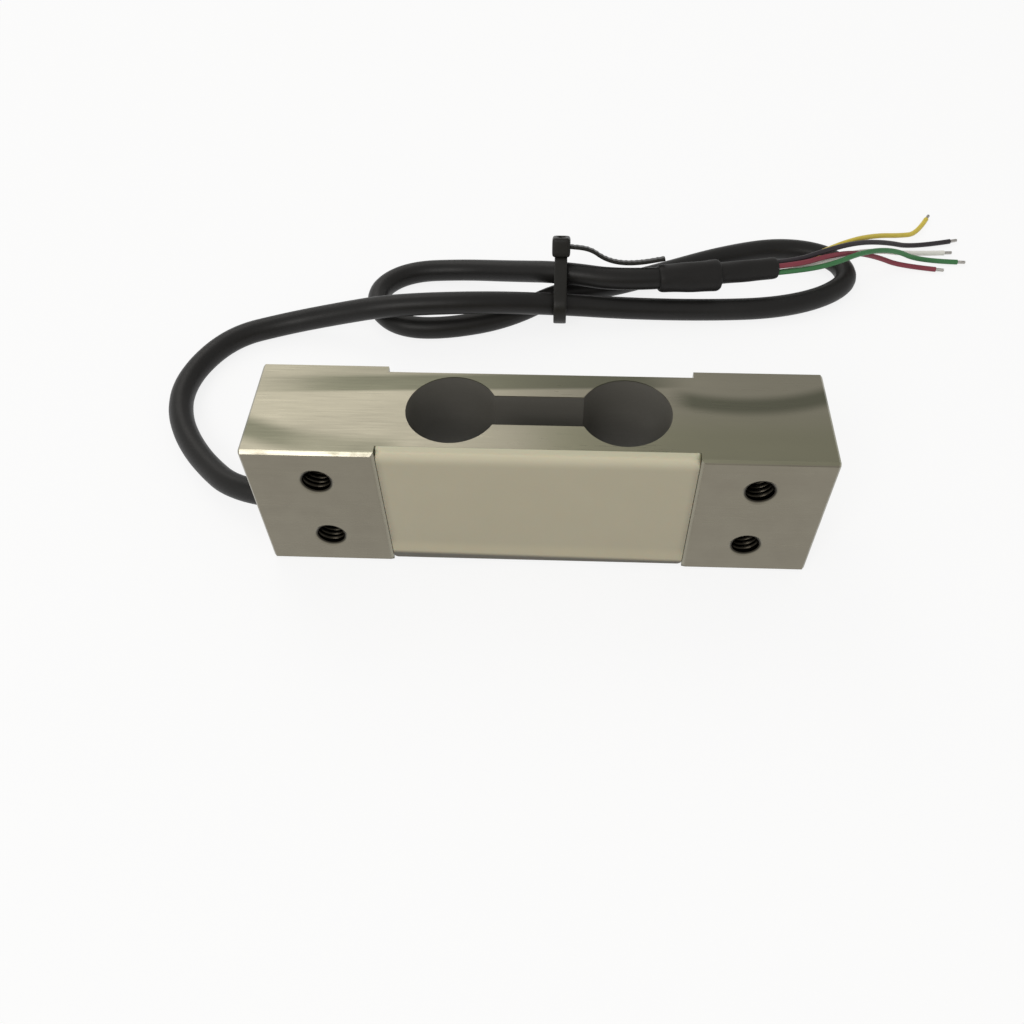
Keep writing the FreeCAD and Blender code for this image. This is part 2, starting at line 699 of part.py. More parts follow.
def make_cable():
    """Outer jacket from the bore to the sleeve."""
    points = [Vector(*p) for p in CABLE_ROUTE]
    jacket, path = tube(points, size("cable_diameter"))
    print(f"cable_jacket: length {path.Length:.1f}")
    add_feature("cable_jacket", jacket)
    return path


def make_sleeves():
    """Shrink sleeve over the jacket's end, a thinner collar in it, and the core bundle."""
    end = Vector(*CABLE_ROUTE[-1])
    along = end.sub(Vector(*CABLE_ROUTE[-2])).normalize()
    jacket_r = size("cable_diameter") / 2
    start = end.sub(Vector(along).multiply(size("sleeve_grip")))
    outer = Part.makeCylinder(jacket_r + size("sleeve_wall"), size("sleeve_length"), start, along)
    inner = Part.makeCylinder(jacket_r, size("sleeve_length"), start, along)
    add_feature("shrink_sleeve", outer.cut(inner))
    first = start.add(Vector(along).multiply(size("sleeve_length") - size("collar_lap")))
    bore_r = jacket_r - size("collar_wall")
    outer = Part.makeCylinder(jacket_r, size("collar_length"), first, along)
    inner = Part.makeCylinder(bore_r, size("collar_length"), first, along)
    add_feature("sleeve_collar", outer.cut(inner))
    mouth = first.add(Vector(along).multiply(size("collar_length")))
    bundle = mouth.sub(end).Length - size("core_tuck")
    add_feature("core_bundle", Part.makeCylinder(bore_r, bundle, end, along))
    return mouth, along


def make_cores(mouth, along):
    """Five cores that leave the collar together, each with its tinned end."""
    start = mouth.sub(Vector(along).multiply(size("core_tuck")))
    side = along.cross(Vector(0, 0, 1)).normalize()
    up = side.cross(along)
    for colour, route in CORE_ROUTES.items():
        angle = math.radians(CORE_ANGLES[colour])
        shift = Vector(side).multiply(-size("core_ring") * math.cos(angle)).add(
            Vector(up).multiply(size("core_ring") * math.sin(angle)))
        points = [start.add(shift)]
        points.append(points[0].add(Vector(along).multiply(size("core_straight"))))
        points += [Vector(*p) for p in route]
        core, path = tube(points, size("core_diameter"))
        print(f"core_{colour}: length {path.Length:.1f}")
        add_feature("core_" + colour, core)
        way = points[-1].sub(points[-2])
        tip = Part.makeCylinder(size("tip_diameter") / 2, size("tip_length"), points[-1], way)
        add_feature("tip_" + colour, tip)


def make_cable_tie(path):
    """Nylon tie: a band round the three strands, its square head and the curled tail."""
    reach = path.Length
    plane = Part.makePlane(2 * reach, 2 * reach, Vector(TIE_PLACE, -reach, -reach),
                           Vector(1, 0, 0), Vector(0, 1, 0))
    strands = [v.Point for v in path.section(plane).Vertexes]
    triangle = Part.makePolygon(strands + strands[:1])
    inside = size("cable_diameter") / 2 + size("tie_slack")
    rings = [Part.Face(triangle.makeOffset2D(inside + grow))
             for grow in (size("tie_thickness"), 0)]
    band = rings[0].cut(rings[1]).extrude(Vector(size("tie_width"), 0, 0))
    band.translate(Vector(-size("tie_width") / 2, 0, 0))

    top = max(strands, key=lambda p: p.z)
    lean = Rotation(Vector(1, 0, 0), size("tie_lean"))
    head = size("tie_head")
    block = Part.makeBox(head, head, head, Vector(-head / 2, -head / 2, 0))
    block = block.makeFillet(size("tie_head_round"), block.Edges)
    foot = lean.multVec(Vector(0, 0, inside + size("tie_thickness") / 2))
    block.Placement = Placement(top.add(foot), lean)
    middle = top.add(foot).add(lean.multVec(Vector(0, 0, head / 2)))

    out = lean.multVec(Vector(0, 0, 1))
    points = [middle.add(Vector(x, 0, 0)).add(Vector(out).multiply(rise))
              for x, rise in TAIL_PROFILE]
    spine = rounded_path(points)
    wide = lean.multVec(Vector(0, size("tail_width") / 2, 0))
    ahead = points[1].sub(points[0]).normalize()
    thick = ahead.cross(wide).normalize().multiply(size("tail_thickness") / 2)
    corners = [points[0].add(wide).add(thick), points[0].add(wide).sub(thick),
               points[0].sub(wide).sub(thick), points[0].sub(wide).add(thick)]
    tail = spine.makePipeShell([Part.makePolygon(corners + corners[:1])], True, False)
    add_feature("cable_tie", band.fuse([block, tail]).removeSplitter())


# ---------------------------------------------------------------- build, test and write
make_spring_element()
for side, face in ((-1, "front"), (1, "rear")):
    make_cover(face + "_cover", side)
    make_gauge(f"gauge_{face}_left", side, -1)
    make_gauge(f"gauge_{face}_right", side, 1)
    make_terminal_strip("terminal_strip_" + face, side)
    make_bridge_wires("bridge_wires_" + face, side)
make_resistor("span_resistor", -1)
make_resistor("zero_resistor", 1)
make_leads()
make_link_wires()
make_cable_seal()
cable_path = make_cable()
collar_mouth, cable_way = make_sleeves()
make_cores(collar_mouth, cable_way)
make_cable_tie(cable_path)
doc.recompute()

for obj in doc.Objects:
    if "Invalid" in obj.State or "Error" in obj.State:
        raise RuntimeError(f"{obj.Name} failed: {obj.State}")

used = {child.Name for obj in doc.Objects if obj.TypeId in ("Part::Cut", "Part::MultiFuse")
        for child in obj.OutList}
nodes = [obj for obj in doc.Objects
         if obj.TypeId == "PartDesign::Body"
         or (obj.TypeId.startswith("Part::") and obj.Name not in used)]
for node in nodes:
    if node.Shape.isNull() or not node.Shape.isValid():
        raise RuntimeError(f"{node.Label} has no valid shape")

os.makedirs("parts", exist_ok=True)
for node in nodes:
    node.Shape.exportStep(f"parts/{node.Label}.step")
    print(f"{node.Label}: {len(node.Shape.Solids)} solid(s), {node.Shape.Volume:.2f} mm3")
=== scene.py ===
# %% [markdown]
# # A single point load cell
# The cell is a milled aluminium block that bends a little under load. Two silicone covers hide
# its strain gauges, four M6 holes take its screws, and a black cable leaves it low down, is tied
# in a loose hank and ends in five thin cores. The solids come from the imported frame. Here each
# surface gets its finish, and the soft and fine pieces get their real shape. Lengths are in
# metres, x runs along the block, y back through it and z up.

# %% Load the frame
import json
import math

import bpy
import numpy as np
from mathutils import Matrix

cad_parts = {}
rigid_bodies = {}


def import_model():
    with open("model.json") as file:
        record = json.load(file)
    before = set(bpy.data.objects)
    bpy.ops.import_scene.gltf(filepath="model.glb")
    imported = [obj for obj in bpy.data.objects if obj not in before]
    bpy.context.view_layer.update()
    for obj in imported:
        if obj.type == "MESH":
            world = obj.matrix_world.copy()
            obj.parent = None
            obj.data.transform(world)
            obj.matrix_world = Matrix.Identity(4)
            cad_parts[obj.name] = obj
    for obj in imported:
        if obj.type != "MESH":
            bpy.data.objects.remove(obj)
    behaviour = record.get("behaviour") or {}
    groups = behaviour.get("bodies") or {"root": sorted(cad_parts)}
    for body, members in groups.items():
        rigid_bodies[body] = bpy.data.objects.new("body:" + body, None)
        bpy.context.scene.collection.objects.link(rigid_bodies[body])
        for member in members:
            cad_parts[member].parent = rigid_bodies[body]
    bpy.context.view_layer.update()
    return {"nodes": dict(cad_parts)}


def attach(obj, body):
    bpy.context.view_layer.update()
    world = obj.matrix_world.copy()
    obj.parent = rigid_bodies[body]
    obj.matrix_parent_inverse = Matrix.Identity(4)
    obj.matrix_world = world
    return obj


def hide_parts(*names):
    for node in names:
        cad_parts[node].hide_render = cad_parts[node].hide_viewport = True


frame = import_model()
print("CAD nodes:", sorted(frame["nodes"]))

# %% [markdown]
# ## Camera
# The camera stands close in front of the block and looks down at its top and front. It is so
# near that the block's ends lean apart, and only a camera at the real distance gives that, with
# the lens fitted to it. The view transform is Standard, because then a colour comes out about
# as it is written.

# %% Set the camera
CAMERA_PLACE = (0.0038728, -0.1147312, 0.1452642)
CAMERA_TURN = (0.676264, 0.0087838, 0.0378668)
LENS_MM, SENSOR_MM = 33.07, 36
SIDE_SHIFT = -0.01758
NEAR_CLIP = 0.01

bpy.context.scene.view_settings.view_transform = "Standard"
camera_data = bpy.data.cameras.new("camera")
camera_data.lens = LENS_MM
camera_data.sensor_width = SENSOR_MM
camera_data.shift_x = SIDE_SHIFT
camera_data.clip_start = NEAR_CLIP
camera = bpy.data.objects.new("camera", camera_data)
camera.location = CAMERA_PLACE
camera.rotation_euler = CAMERA_TURN
bpy.context.collection.objects.link(camera)
bpy.context.scene.camera = camera
print("camera at", CAMERA_PLACE, "lens", LENS_MM, "mm")

# %% [markdown]
# ## Cable
# The cable is one length of soft PVC lead, 5 mm thick. It could be simulated, but a tied hank
# keeps the bends that the tie gave it, so a given route is truer. A NURBS curve of order 3
# takes the route as its control points: it rounds every corner by itself, as a cable does.


# %% A cord from its route
CORD_ORDER, CORD_STEPS = 3, 24
RING_DETAIL = 8


def cord(name, route, diameter):
    """A round cord whose line is the NURBS curve of order 3 that the route's points pull on.

    Its thickness is the points' own radius, which the bevel's depth multiplies by one. A curve's
    box grows by that radius, so a radius left at one metre would make the box far too large.
    """
    curve = bpy.data.curves.new(name, "CURVE")
    curve.dimensions = "3D"
    spline = curve.splines.new("NURBS")
    points = np.c_[np.array(route, float), np.ones(len(route))]
    spline.points.add(len(points) - 1)
    spline.points.foreach_set("co", points.ravel())
    spline.points.foreach_set("radius", np.full(len(points), diameter / 2))
    spline.order_u = CORD_ORDER
    spline.use_endpoint_u = True
    spline.resolution_u = CORD_STEPS
    curve.bevel_depth = 1
    curve.bevel_resolution = RING_DETAIL
    curve.use_fill_caps = True
    piece = bpy.data.objects.new(name, curve)
    bpy.context.collection.objects.link(piece)
    return piece


def centreline(piece):
    """The points of a cord's own curve, read from a copy of it without thickness."""
    copy = piece.copy()
    copy.data = piece.data.copy()
    copy.data.bevel_depth = 0
    mesh = bpy.data.meshes.new_from_object(copy)
    line = np.empty(len(mesh.vertices) * 3)
    mesh.vertices.foreach_get("co", line)
    bpy.data.objects.remove(copy)
    bpy.data.meshes.remove(mesh)
    return line.reshape(-1, 3)


def run_length(line):
    """The distance from a line's first point to each of its points."""
    steps = np.linalg.norm(np.diff(line, axis=0), axis=1)
    return np.r_[0, np.cumsum(steps)]


print("cord helpers ready")

# %% [markdown]
# ## The cable's lie
# The cable runs round a bow on the left, back behind the block, and folds once on the right and
# once on the left before it enters its sleeve. The control points follow it in the order in which
# a hand would lay it. REST is the height of its middle on the bench, and where one strand lies on
# another the points rise.

# %% Lay the cable
CABLE_DIAMETER = 0.005
REST = 0.0026
CABLE_ROUTE = [
    # out of the end face, down to the surface and round the left-hand bow
    (-0.043, 0, 0.0055), (-0.0575, 0, 0.0046), (-0.0705, 0.012, REST), (-0.078, 0.0245, REST),
    (-0.0785, 0.0365, REST), (-0.072, 0.049, REST), (-0.0605, 0.054, REST),
    # front strand, over the left fold, through the tie and down again
    (-0.048, 0.0545, 0.0054), (-0.035, 0.053, 0.0094), (-0.0145, 0.0541, 0.0098),
    (0.003, 0.0588, 0.0058), (0.0195, 0.0603, 0.0036), (0.038, 0.0615, REST),
    (0.0535, 0.0627, REST),
    # right-hand fold
    (0.0655, 0.067, REST), (0.073, 0.074, REST), (0.07, 0.083, REST), (0.058, 0.0865, REST),
    # low strand, under the sleeve and through the tie
    (0.043, 0.0825, REST), (0.027, 0.075, REST), (0.014, 0.0683, 0.0034),
    (0.003, 0.0647, 0.0047), (-0.009, 0.0575, REST),
    # left-hand fold, under the front strand
    (-0.023, 0.0533, REST), (-0.0335, 0.0535, REST), (-0.04, 0.0595, REST),
    (-0.0405, 0.068, REST), (-0.0335, 0.0743, REST),
    # last strand, over the low one and into the sleeve
    (-0.021, 0.0745, 0.0032), (-0.0085, 0.0705, 0.006), (0.003, 0.0644, 0.0106),
    (0.018, 0.0624, 0.0098), (0.0313, 0.0646, 0.0098),
]
cable = cord("cable", CABLE_ROUTE, CABLE_DIAMETER)
print("cable length", round(run_length(centreline(cable))[-1], 4), "m")

# %% [markdown]
# ## Cores
# Five thin insulated wires come out of the cable's sleeve, spread over the fold and lie down on
# the bench. BUNDLE_END is where they part, 4 mm inside the sleeve's collar, and BUNDLE_WAY is the
# way they point there. Each has its own place in the bundle, so a ring of starting points is
# worked out from one angle per colour, and the rest of each route is listed.

# %% Lay the five cores
CORE_DIAMETER = 0.0012
CORE_RING = 0.00125
CORE_REST = 0.0007
CORE_STRAIGHT = 0.0088
BUNDLE_END = np.array((0.04906, 0.06754, 0.0098))
BUNDLE_WAY = np.array((0.9866, 0.1632, 0))
BUNDLE_SIDE = np.array((-BUNDLE_WAY[1], BUNDLE_WAY[0], 0))
UP = np.array((0, 0, 1))
CORE_ANGLES = {"yellow": -18, "black": 54, "red": 126, "green": 198, "white": 270}
CORE_ROUTES = {
    "yellow": [(0.0645, 0.0747, 0.0099), (0.0725, 0.0803, 0.0093), (0.0805, 0.0868, 0.0062),
               (0.0887, 0.0924, 0.0024), (0.094, 0.0958, CORE_REST),
               (0.0978, 0.1022, CORE_REST)],
    "black": [(0.065, 0.0731, 0.0115), (0.074, 0.0795, 0.0093), (0.083, 0.0855, 0.0052),
              (0.0915, 0.09, CORE_REST), (0.1016, 0.0927, CORE_REST)],
    "red": [(0.065, 0.0716, 0.0109), (0.0728, 0.077, 0.0082), (0.0803, 0.0808, 0.0042),
            (0.0868, 0.0823, CORE_REST), (0.0954, 0.081, CORE_REST)],
    "green": [(0.066, 0.0703, 0.0094), (0.075, 0.0763, 0.009), (0.084, 0.0814, 0.006),
              (0.092, 0.0844, CORE_REST), (0.1014, 0.0841, CORE_REST)],
    "white": [(0.0645, 0.0728, 0.0086), (0.073, 0.0783, 0.0072), (0.0815, 0.0837, 0.004),
              (0.0895, 0.0872, CORE_REST), (0.099, 0.0878, CORE_REST)],
}
cores = {}
for colour, route in CORE_ROUTES.items():
    turn = math.radians(CORE_ANGLES[colour])
    ring = BUNDLE_SIDE * math.cos(turn) + UP * math.sin(turn)
    start = BUNDLE_END + CORE_RING * ring
    points = [start, start + CORE_STRAIGHT * BUNDLE_WAY, *route]
    cores[colour] = cord("core_wire_" + colour, points, CORE_DIAMETER)
print("core lengths:", {colour: round(run_length(centreline(core))[-1], 4)
                        for colour, core in cores.items()})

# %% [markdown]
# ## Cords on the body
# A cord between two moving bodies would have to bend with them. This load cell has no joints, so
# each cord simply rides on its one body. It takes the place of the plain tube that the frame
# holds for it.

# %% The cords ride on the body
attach(cable, "root")
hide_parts("cable_jacket")
for colour, core in cores.items():
    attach(core, "root")
    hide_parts("core_" + colour)
print("cords on the root body:", 1 + len(cores))

# %% [markdown]
# ## Surfaces from grids
# The small pieces on the cable could be built from primitives and modifiers. A formula is
# shorter and says more: each piece is a grid of points, one closed ring per row, and one helper
# turns any such grid into a mesh.


# %% From a grid of points to a piece
SHARP_ANGLE = math.radians(50)


def skin(name, grid, row_loop=False):
    """A closed surface from a grid of points in which each row is a closed ring.

    Each face joins a point, its neighbour in the ring and the same two in the next row. The
    first and last rings are capped, unless the rows close on themselves.
    """
    rows, columns = grid.shape[:2]
    index = np.arange(rows * columns).reshape(rows, columns)
    here = index if row_loop else index[:-1]
    ahead = np.roll(index, -1, axis=0) if row_loop else index[1:]
    faces = np.stack([here, np.roll(here, -1, axis=1), np.roll(ahead, -1, axis=1), ahead],
                     axis=-1).reshape(-1, 4).tolist()
    if not row_loop:
        faces += [index[0, ::-1].tolist(), index[-1].tolist()]
    mesh = bpy.data.meshes.new(name)
    mesh.from_pydata(grid.reshape(-1, 3).tolist(), [], faces)
    mesh.shade_smooth()
    mesh.set_sharp_from_angle(angle=SHARP_ANGLE)
    piece = bpy.data.objects.new(name, mesh)
    bpy.context.collection.objects.link(piece)
    return piece


def directions(line, loop=False):
    """The unit direction of a line at each of its points, from the two points beside it."""
    way = np.roll(line, -1, axis=0) - np.roll(line, 1, axis=0)
    if not loop:
        way[0], way[-1] = line[1] - line[0], line[-1] - line[-2]
    return way / np.linalg.norm(way, axis=1)[:, None]


print("grid helpers ready")

# %% [markdown]
# ## Shrink sleeve and collar
# Heat-shrink tube never ends up as a clean cylinder: it grips the cable at one end, sags over
# the loose cores at the other, and sets with long shallow folds. So the radius of its ring
# changes with both the angle and the place along the tube, as a sum of a few sines.

# %% The sleeve and the collar
SLEEVE_BACK, COLLAR_ALONG = 0.024, 0.0125
SLEEVE_START = BUNDLE_END - SLEEVE_BACK * BUNDLE_WAY
COLLAR_START = SLEEVE_START + COLLAR_ALONG * BUNDLE_WAY
SLEEVE = {"length": 0.0145, "radius": 0.00310, "bore": 0.00252, "fold": 0.022, "sag": 0.34}
COLLAR = {"length": 0.0155, "radius": 0.00246, "bore": 0.00202, "fold": 0.020}
TUBE_ROWS, TUBE_COLUMNS = 64, 96
SAG_SIDE = math.radians(220)
LIP_LENGTH, LIP_WALL = 0.0014, 0.25


def shrunk_tube(name, start, length, radius, bore, fold, sag=0.0):
    """A shrunk tube with wall and folds, from its start along the cable's way.

    Outer radius = radius x (1 + fold x (sin(3a + 5s) + sin(5a - 9s) / 2 + sin(2a + 13s) / 2)
    + sag x s x the positive part of cos(a - SAG_SIDE)), for the angle a and the share s of the
    length: it hangs a little lower towards its end. At both lips the wall thins to LIP_WALL of
    itself, by a quarter circle. The rows run out along the outside and back along the bore, so
    they close on themselves.
    """
    s = np.linspace(0, 1, TUBE_ROWS)[:, None]
    a = np.linspace(0, 2 * np.pi, TUBE_COLUMNS, endpoint=False)[None, :]
    folds = (np.sin(3 * a + 5 * s) + np.sin(5 * a - 9 * s) / 2 + np.sin(2 * a + 13 * s) / 2)
    lip = np.minimum(1, np.minimum(s, 1 - s) * length / LIP_LENGTH)
    rounding = LIP_WALL + (1 - LIP_WALL) * np.sqrt(1 - (1 - lip) ** 2)
    hang = sag * s * np.maximum(0, np.cos(a - SAG_SIDE))
    outside = bore + (radius * (1 + fold * folds + hang) - bore) * rounding
    rings = np.concatenate([outside, np.full_like(outside, bore)])
    place = np.concatenate([s, s[::-1]]) * length
    a = np.broadcast_to(a, rings.shape)
    grid = (start + place[..., None] * BUNDLE_WAY + (rings * np.cos(a))[..., None] * BUNDLE_SIDE
            + (rings * np.sin(a))[..., None] * UP)
    return skin(name, grid, row_loop=True)


sleeve = shrunk_tube("shrink_sleeve_folded", SLEEVE_START, **SLEEVE)
collar = shrunk_tube("sleeve_collar_folded", COLLAR_START, **COLLAR)
for piece, node in ((sleeve, "shrink_sleeve"), (collar, "sleeve_collar")):
    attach(piece, "root")
    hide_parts(node)
    print(piece.name, len(piece.data.vertices), "points")

# %% [markdown]
# ## Tinned ends
# Each core ends in seven fine strands, twisted and dipped in solder. A cylinder would look like
# a pin, so the ring of each end has seven lobes that turn as it goes, and it tapers a little.


# %% Twisted tinned strands
FINE_STRANDS, LOBE_DEPTH = 7, 0.14
TAPER_FROM, TAPER_RUN, TAPER_LEAST = 0.92, 0.085, 0.02
TIP_RADIUS, TIP_LENGTH, TIP_TUCK = 0.0004, 0.0022, 0.0002
TIP_ROWS, LOBE_STEPS = 40, 8


def tinned_end(name, start, way):
    """A twisted strand end: radius x (1 - LOBE_DEPTH x (1 - |sin(7/2 (a - 2 pi s))|)).

    The lobes turn once along the share s of the length, and from TAPER_FROM on the ring narrows
    as a quarter circle does.
    """
    side = np.cross(way, UP)
    side /= np.linalg.norm(side)
    up = np.cross(side, way)
    s = np.linspace(0, 1, TIP_ROWS)[:, None]
    a = np.linspace(0, 2 * np.pi, LOBE_STEPS * FINE_STRANDS, endpoint=False)[None, :]
    lobes = 1 - LOBE_DEPTH * (1 - np.abs(np.sin(FINE_STRANDS / 2 * (a - 2 * np.pi * s))))
    into = np.clip((s - TAPER_FROM) / TAPER_RUN, 0, 1)
    rings = TIP_RADIUS * lobes * np.sqrt(np.clip(1 - into ** 2, TAPER_LEAST, 1))
    grid = (start + (s * TIP_LENGTH)[..., None] * way + (rings * np.cos(a))[..., None] * up
            + (rings * np.sin(a))[..., None] * side)
    return skin(name, grid)


tips = {}
for colour, core in cores.items():
    line = centreline(core)
    way = directions(line)[-1]
    tips[colour] = tinned_end("tip_strands_" + colour, line[-1] - TIP_TUCK * way, way)
    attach(tips[colour], "root")
    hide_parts("tip_" + colour)
print("tinned ends:", sorted(tips))

# %% [markdown]
# ## Cable tie
# A nylon tie is a strap with a rounded-box section, a head with a window for its pawl, and the
# cut-off tail. The strap lies on three strands: pulled tight round them it takes the outline
# that a string would, so in every direction its point is that of the strand lying furthest out.


# %% A strap along a line
BOX_POWER, BOX_STEPS = 0.35, 32
RIDGE_PITCH = 0.0012


def boxed(wave, power):
    """A sine or cosine pushed towards -1 and 1: its size raised to a power, its sign kept."""
    return np.sign(wave) * np.abs(wave) ** power


def strap(name, line, across, width, thickness, ridge=0.0, loop=False):
    """A strap carried along a line, whose section is a circle boxed by BOX_POWER.

    Each ring's point goes out by half the thickness times the boxed cosine and across by half
    the width times the boxed sine. The outer face dips by the ridge height times the size of a
    sine, once every RIDGE_PITCH of the line.
    """
    out = np.cross(across, directions(line, loop))
    a = np.linspace(0, 2 * np.pi, BOX_STEPS, endpoint=False)
    box_out, box_side = boxed(np.cos(a), BOX_POWER), boxed(np.sin(a), BOX_POWER)
    dip = ridge * np.abs(np.sin(np.pi * run_length(line) / RIDGE_PITCH))
    rise = ((thickness / 2 - dip)[:, None] * np.maximum(box_out, 0)
            - thickness / 2 * np.maximum(-box_out, 0))
    grid = (line[:, None] + rise[..., None] * out[:, None]
            + (width / 2 * box_side)[None, :, None] * across)
    return skin(name, grid, row_loop=loop)


def soft_path(guide, steps=14):
    """A smooth line through space: the quadratic B-spline that the guide points pull on.

    Between two middles of the guide's runs the point is (1-t)^2/2, (1+2t-2t^2)/2 and t^2/2
    of three neighbouring guide points.
    """
    guide = np.vstack([guide[:1], guide, guide[-1:]])
    t = np.linspace(0, 1, steps, endpoint=False)[:, None, None]
    line = 0.5 * ((1 - t) ** 2 * guide[:-2] + (1 + 2 * t - 2 * t ** 2) * guide[1:-1]
                  + t ** 2 * guide[2:])
    return np.vstack([line.transpose(1, 0, 2).reshape(-1, 3), guide[-1:]])


print("strap helpers ready")

# %% [markdown]
# ## The band round the strands
# STRANDS holds the middles of the three strands where they pass under the tie. The furthest one
# is looked up in 720 directions at once and pushed out by STRAP_REACH, half the cable and the
# strap with a little slack. The outline is then divided into even steps, so that the faces come
# out alike.

# %% The tie's band
TIE_X = 0.003
STRANDS = np.array([(TIE_X, 0.05835, 0.00593), (TIE_X, 0.06438, 0.00435),
                    (TIE_X, 0.06497, 0.00995)])
STRAP_WIDTH, STRAP_THICKNESS, STRAP_REACH = 0.0029, 0.0009, 0.00375
HULL_DIRECTIONS, BAND_STEPS = 720, 160

turn = np.linspace(0, 2 * np.pi, HULL_DIRECTIONS, endpoint=False)
outward = np.c_[np.zeros_like(turn), np.cos(turn), np.sin(turn)]
furthest = STRANDS[np.argmax(outward @ STRANDS.T, axis=1)]
hull = furthest + STRAP_REACH * outward
along = run_length(np.vstack([hull, hull[:1]]))
even = np.linspace(0, along[-1], BAND_STEPS, endpoint=False)
band_line = np.stack([np.interp(even, along, np.r_[hull[:, k], hull[0, k]])
                      for k in range(3)], axis=1)
band = strap("tie_band", band_line, np.array((-1.0, 0, 0)), STRAP_WIDTH, STRAP_THICKNESS,
             loop=True)
print("tie band", round(along[-1] * 1000, 1), "mm round the strands")

# %% [markdown]
# ## The tie's head and tail
# The head sits on the topmost strand and leans back with it. A cube with bevels would do, but a
# sphere whose sines and cosines are boxed has soft corners from the start, and its top can sink
# into the window in the same formula. The tail is the same strap again, with ridges, along a few
# guide points.


# %% The tie's head and tail
LEAN = math.radians(25)
TIE_OUT = np.array((0, math.sin(LEAN), math.cos(LEAN)))
TIE_SIDE = np.array((0, math.cos(LEAN), -math.sin(LEAN)))
HEAD_HALF, HEAD_NARROWING, HEAD_POWER = 0.0022, 0.95, 0.3
HEAD_ROWS, HEAD_COLUMNS, NEAR_POLE = 60, 96, 89
HEAD_MIDDLE = STRANDS[2] + (STRAP_REACH + HEAD_HALF) * TIE_OUT
WINDOW_HALF, WINDOW_DEPTH, WINDOW_STEEPNESS = (0.0011, 0.0015), 0.0006, 1.6
TAIL_WIDTH, TAIL_THICKNESS, TAIL_RIDGE = 0.0024, 0.0009, 0.00012
TAIL_GUIDE = [(0.0013, 0.0001), (0.0066, -0.0003), (0.0100, -0.0026), (0.0140, -0.0035),
              (0.0185, -0.0033), (0.0238, -0.0023)]


def tie_head(name):
    """A soft box: a sphere's rings with every sine and cosine boxed by HEAD_POWER.

    The rings stop one degree short of the poles and are capped there. The top sinks by
    WINDOW_DEPTH inside an ellipse, which is the pawl's window.
    """
    b = np.radians(np.linspace(-NEAR_POLE, NEAR_POLE, HEAD_ROWS))[:, None]
    a = np.linspace(0, 2 * np.pi, HEAD_COLUMNS, endpoint=False)[None, :]
    flat = boxed(np.cos(b), HEAD_POWER)
    x = HEAD_NARROWING * HEAD_HALF * flat * boxed(np.cos(a), HEAD_POWER)
    y = HEAD_HALF * flat * boxed(np.sin(a), HEAD_POWER)
    z = HEAD_HALF * boxed(np.sin(b), HEAD_POWER) * np.ones_like(a)
    ellipse = (x / WINDOW_HALF[0]) ** 2 + (y / WINDOW_HALF[1]) ** 2
    window = np.clip(WINDOW_STEEPNESS * (1 - ellipse), 0, 1)
    z = z - np.where(z > 0, WINDOW_DEPTH * window, 0)
    grid = (HEAD_MIDDLE + x[..., None] * np.array((1.0, 0, 0)) + y[..., None] * TIE_SIDE
            + z[..., None] * TIE_OUT)
    return skin(name, grid)


head = tie_head("tie_head")
tail_guide = np.array([HEAD_MIDDLE + (x, 0, 0) + rise * TIE_OUT for x, rise in TAIL_GUIDE])
tail = strap("tie_tail", soft_path(tail_guide), -TIE_SIDE, TAIL_WIDTH, TAIL_THICKNESS,
             ridge=TAIL_RIDGE)
for piece in (band, head, tail):
    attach(piece, "root")
    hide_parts("cable_tie")
print("tie pieces:", band.name, head.name, tail.name)

# %% [markdown]
# ## Moulded covers
# Each gauge recess is closed by a pad of silicone, which is soft at its rim and lies flush with
# one long side of the block; the rear pad is the same one turned over, so it is flush below.
# A box with a bevel would do, but a stack of rings also gives the chamber over the gauges.


# %% A cover from rings
COVER_HALF_X, COVER_THICKNESS, COVER_RIM = 0.0272, 0.00145, 0.00045
COVER_CORNER, LOW_CORNER, FOOT_CORNER = 0.0022, 0.0009, 0.0005
CHAMBER_DEPTH, COVER_WALL = 0.0009, 0.00025
RECESS_FLOOR_Y = 0.009
END_RIM = 0.4
RIM_STEPS, RING_STEPS, RING_START = 9, 192, 0.01
COVER_SPANS = {"front_cover": (-1, 0.0004, 0.02998), "rear_cover": (1, 0.0001, 0.0288)}


def moulded_cover(name, side, low, high):
    """A pad with a chamber: rings round a rectangle with round corners, stacked along Y.

    A ring's point is its corner's centre plus the corner radius in the direction a, which starts
    at RING_START, so that no point lies where two corners meet. The rings go from the chamber's
    ceiling down its wall, out along the foot, up the side and round the rim, whose inset is
    rim x (1 - cos f) at height rim x sin f. The corners grow rounder from the foot outwards,
    most at the edge that lies flush with the block, and the rim is sharper at the two ends,
    which press against it. side is -1 in front, 1 at the rear; low and high are its edges in z.
    """
    f = np.radians(np.linspace(0, 90, RIM_STEPS))
    inset = np.r_[COVER_WALL, COVER_WALL, 0, COVER_RIM * (1 - np.cos(f))][:, None]
    rise = np.r_[CHAMBER_DEPTH, 0, 0, COVER_THICKNESS - COVER_RIM * (1 - np.sin(f))][:, None]
    a = np.linspace(0, 2 * np.pi, RING_STEPS, endpoint=False)[None, :] + RING_START
    half_z = (high - low) / 2
    widest = np.where(side * np.sin(a) < 0, COVER_CORNER, LOW_CORNER)
    corner = FOOT_CORNER + (widest - FOOT_CORNER) * rise / COVER_THICKNESS
    x = (COVER_HALF_X - END_RIM * inset - corner) * np.sign(np.cos(a)) + corner * np.cos(a)
    z = (half_z - inset - corner) * np.sign(np.sin(a)) + corner * np.sin(a)
    y = (RECESS_FLOOR_Y + rise) * np.ones_like(a)
    return skin(name, np.stack([-side * x, side * y, low + half_z + z], axis=-1))


covers = {node: moulded_cover(node + "_moulded", *span) for node, span in COVER_SPANS.items()}
for node, piece in covers.items():
    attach(piece, "root")
    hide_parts(node)
print("covers:", sorted(covers))

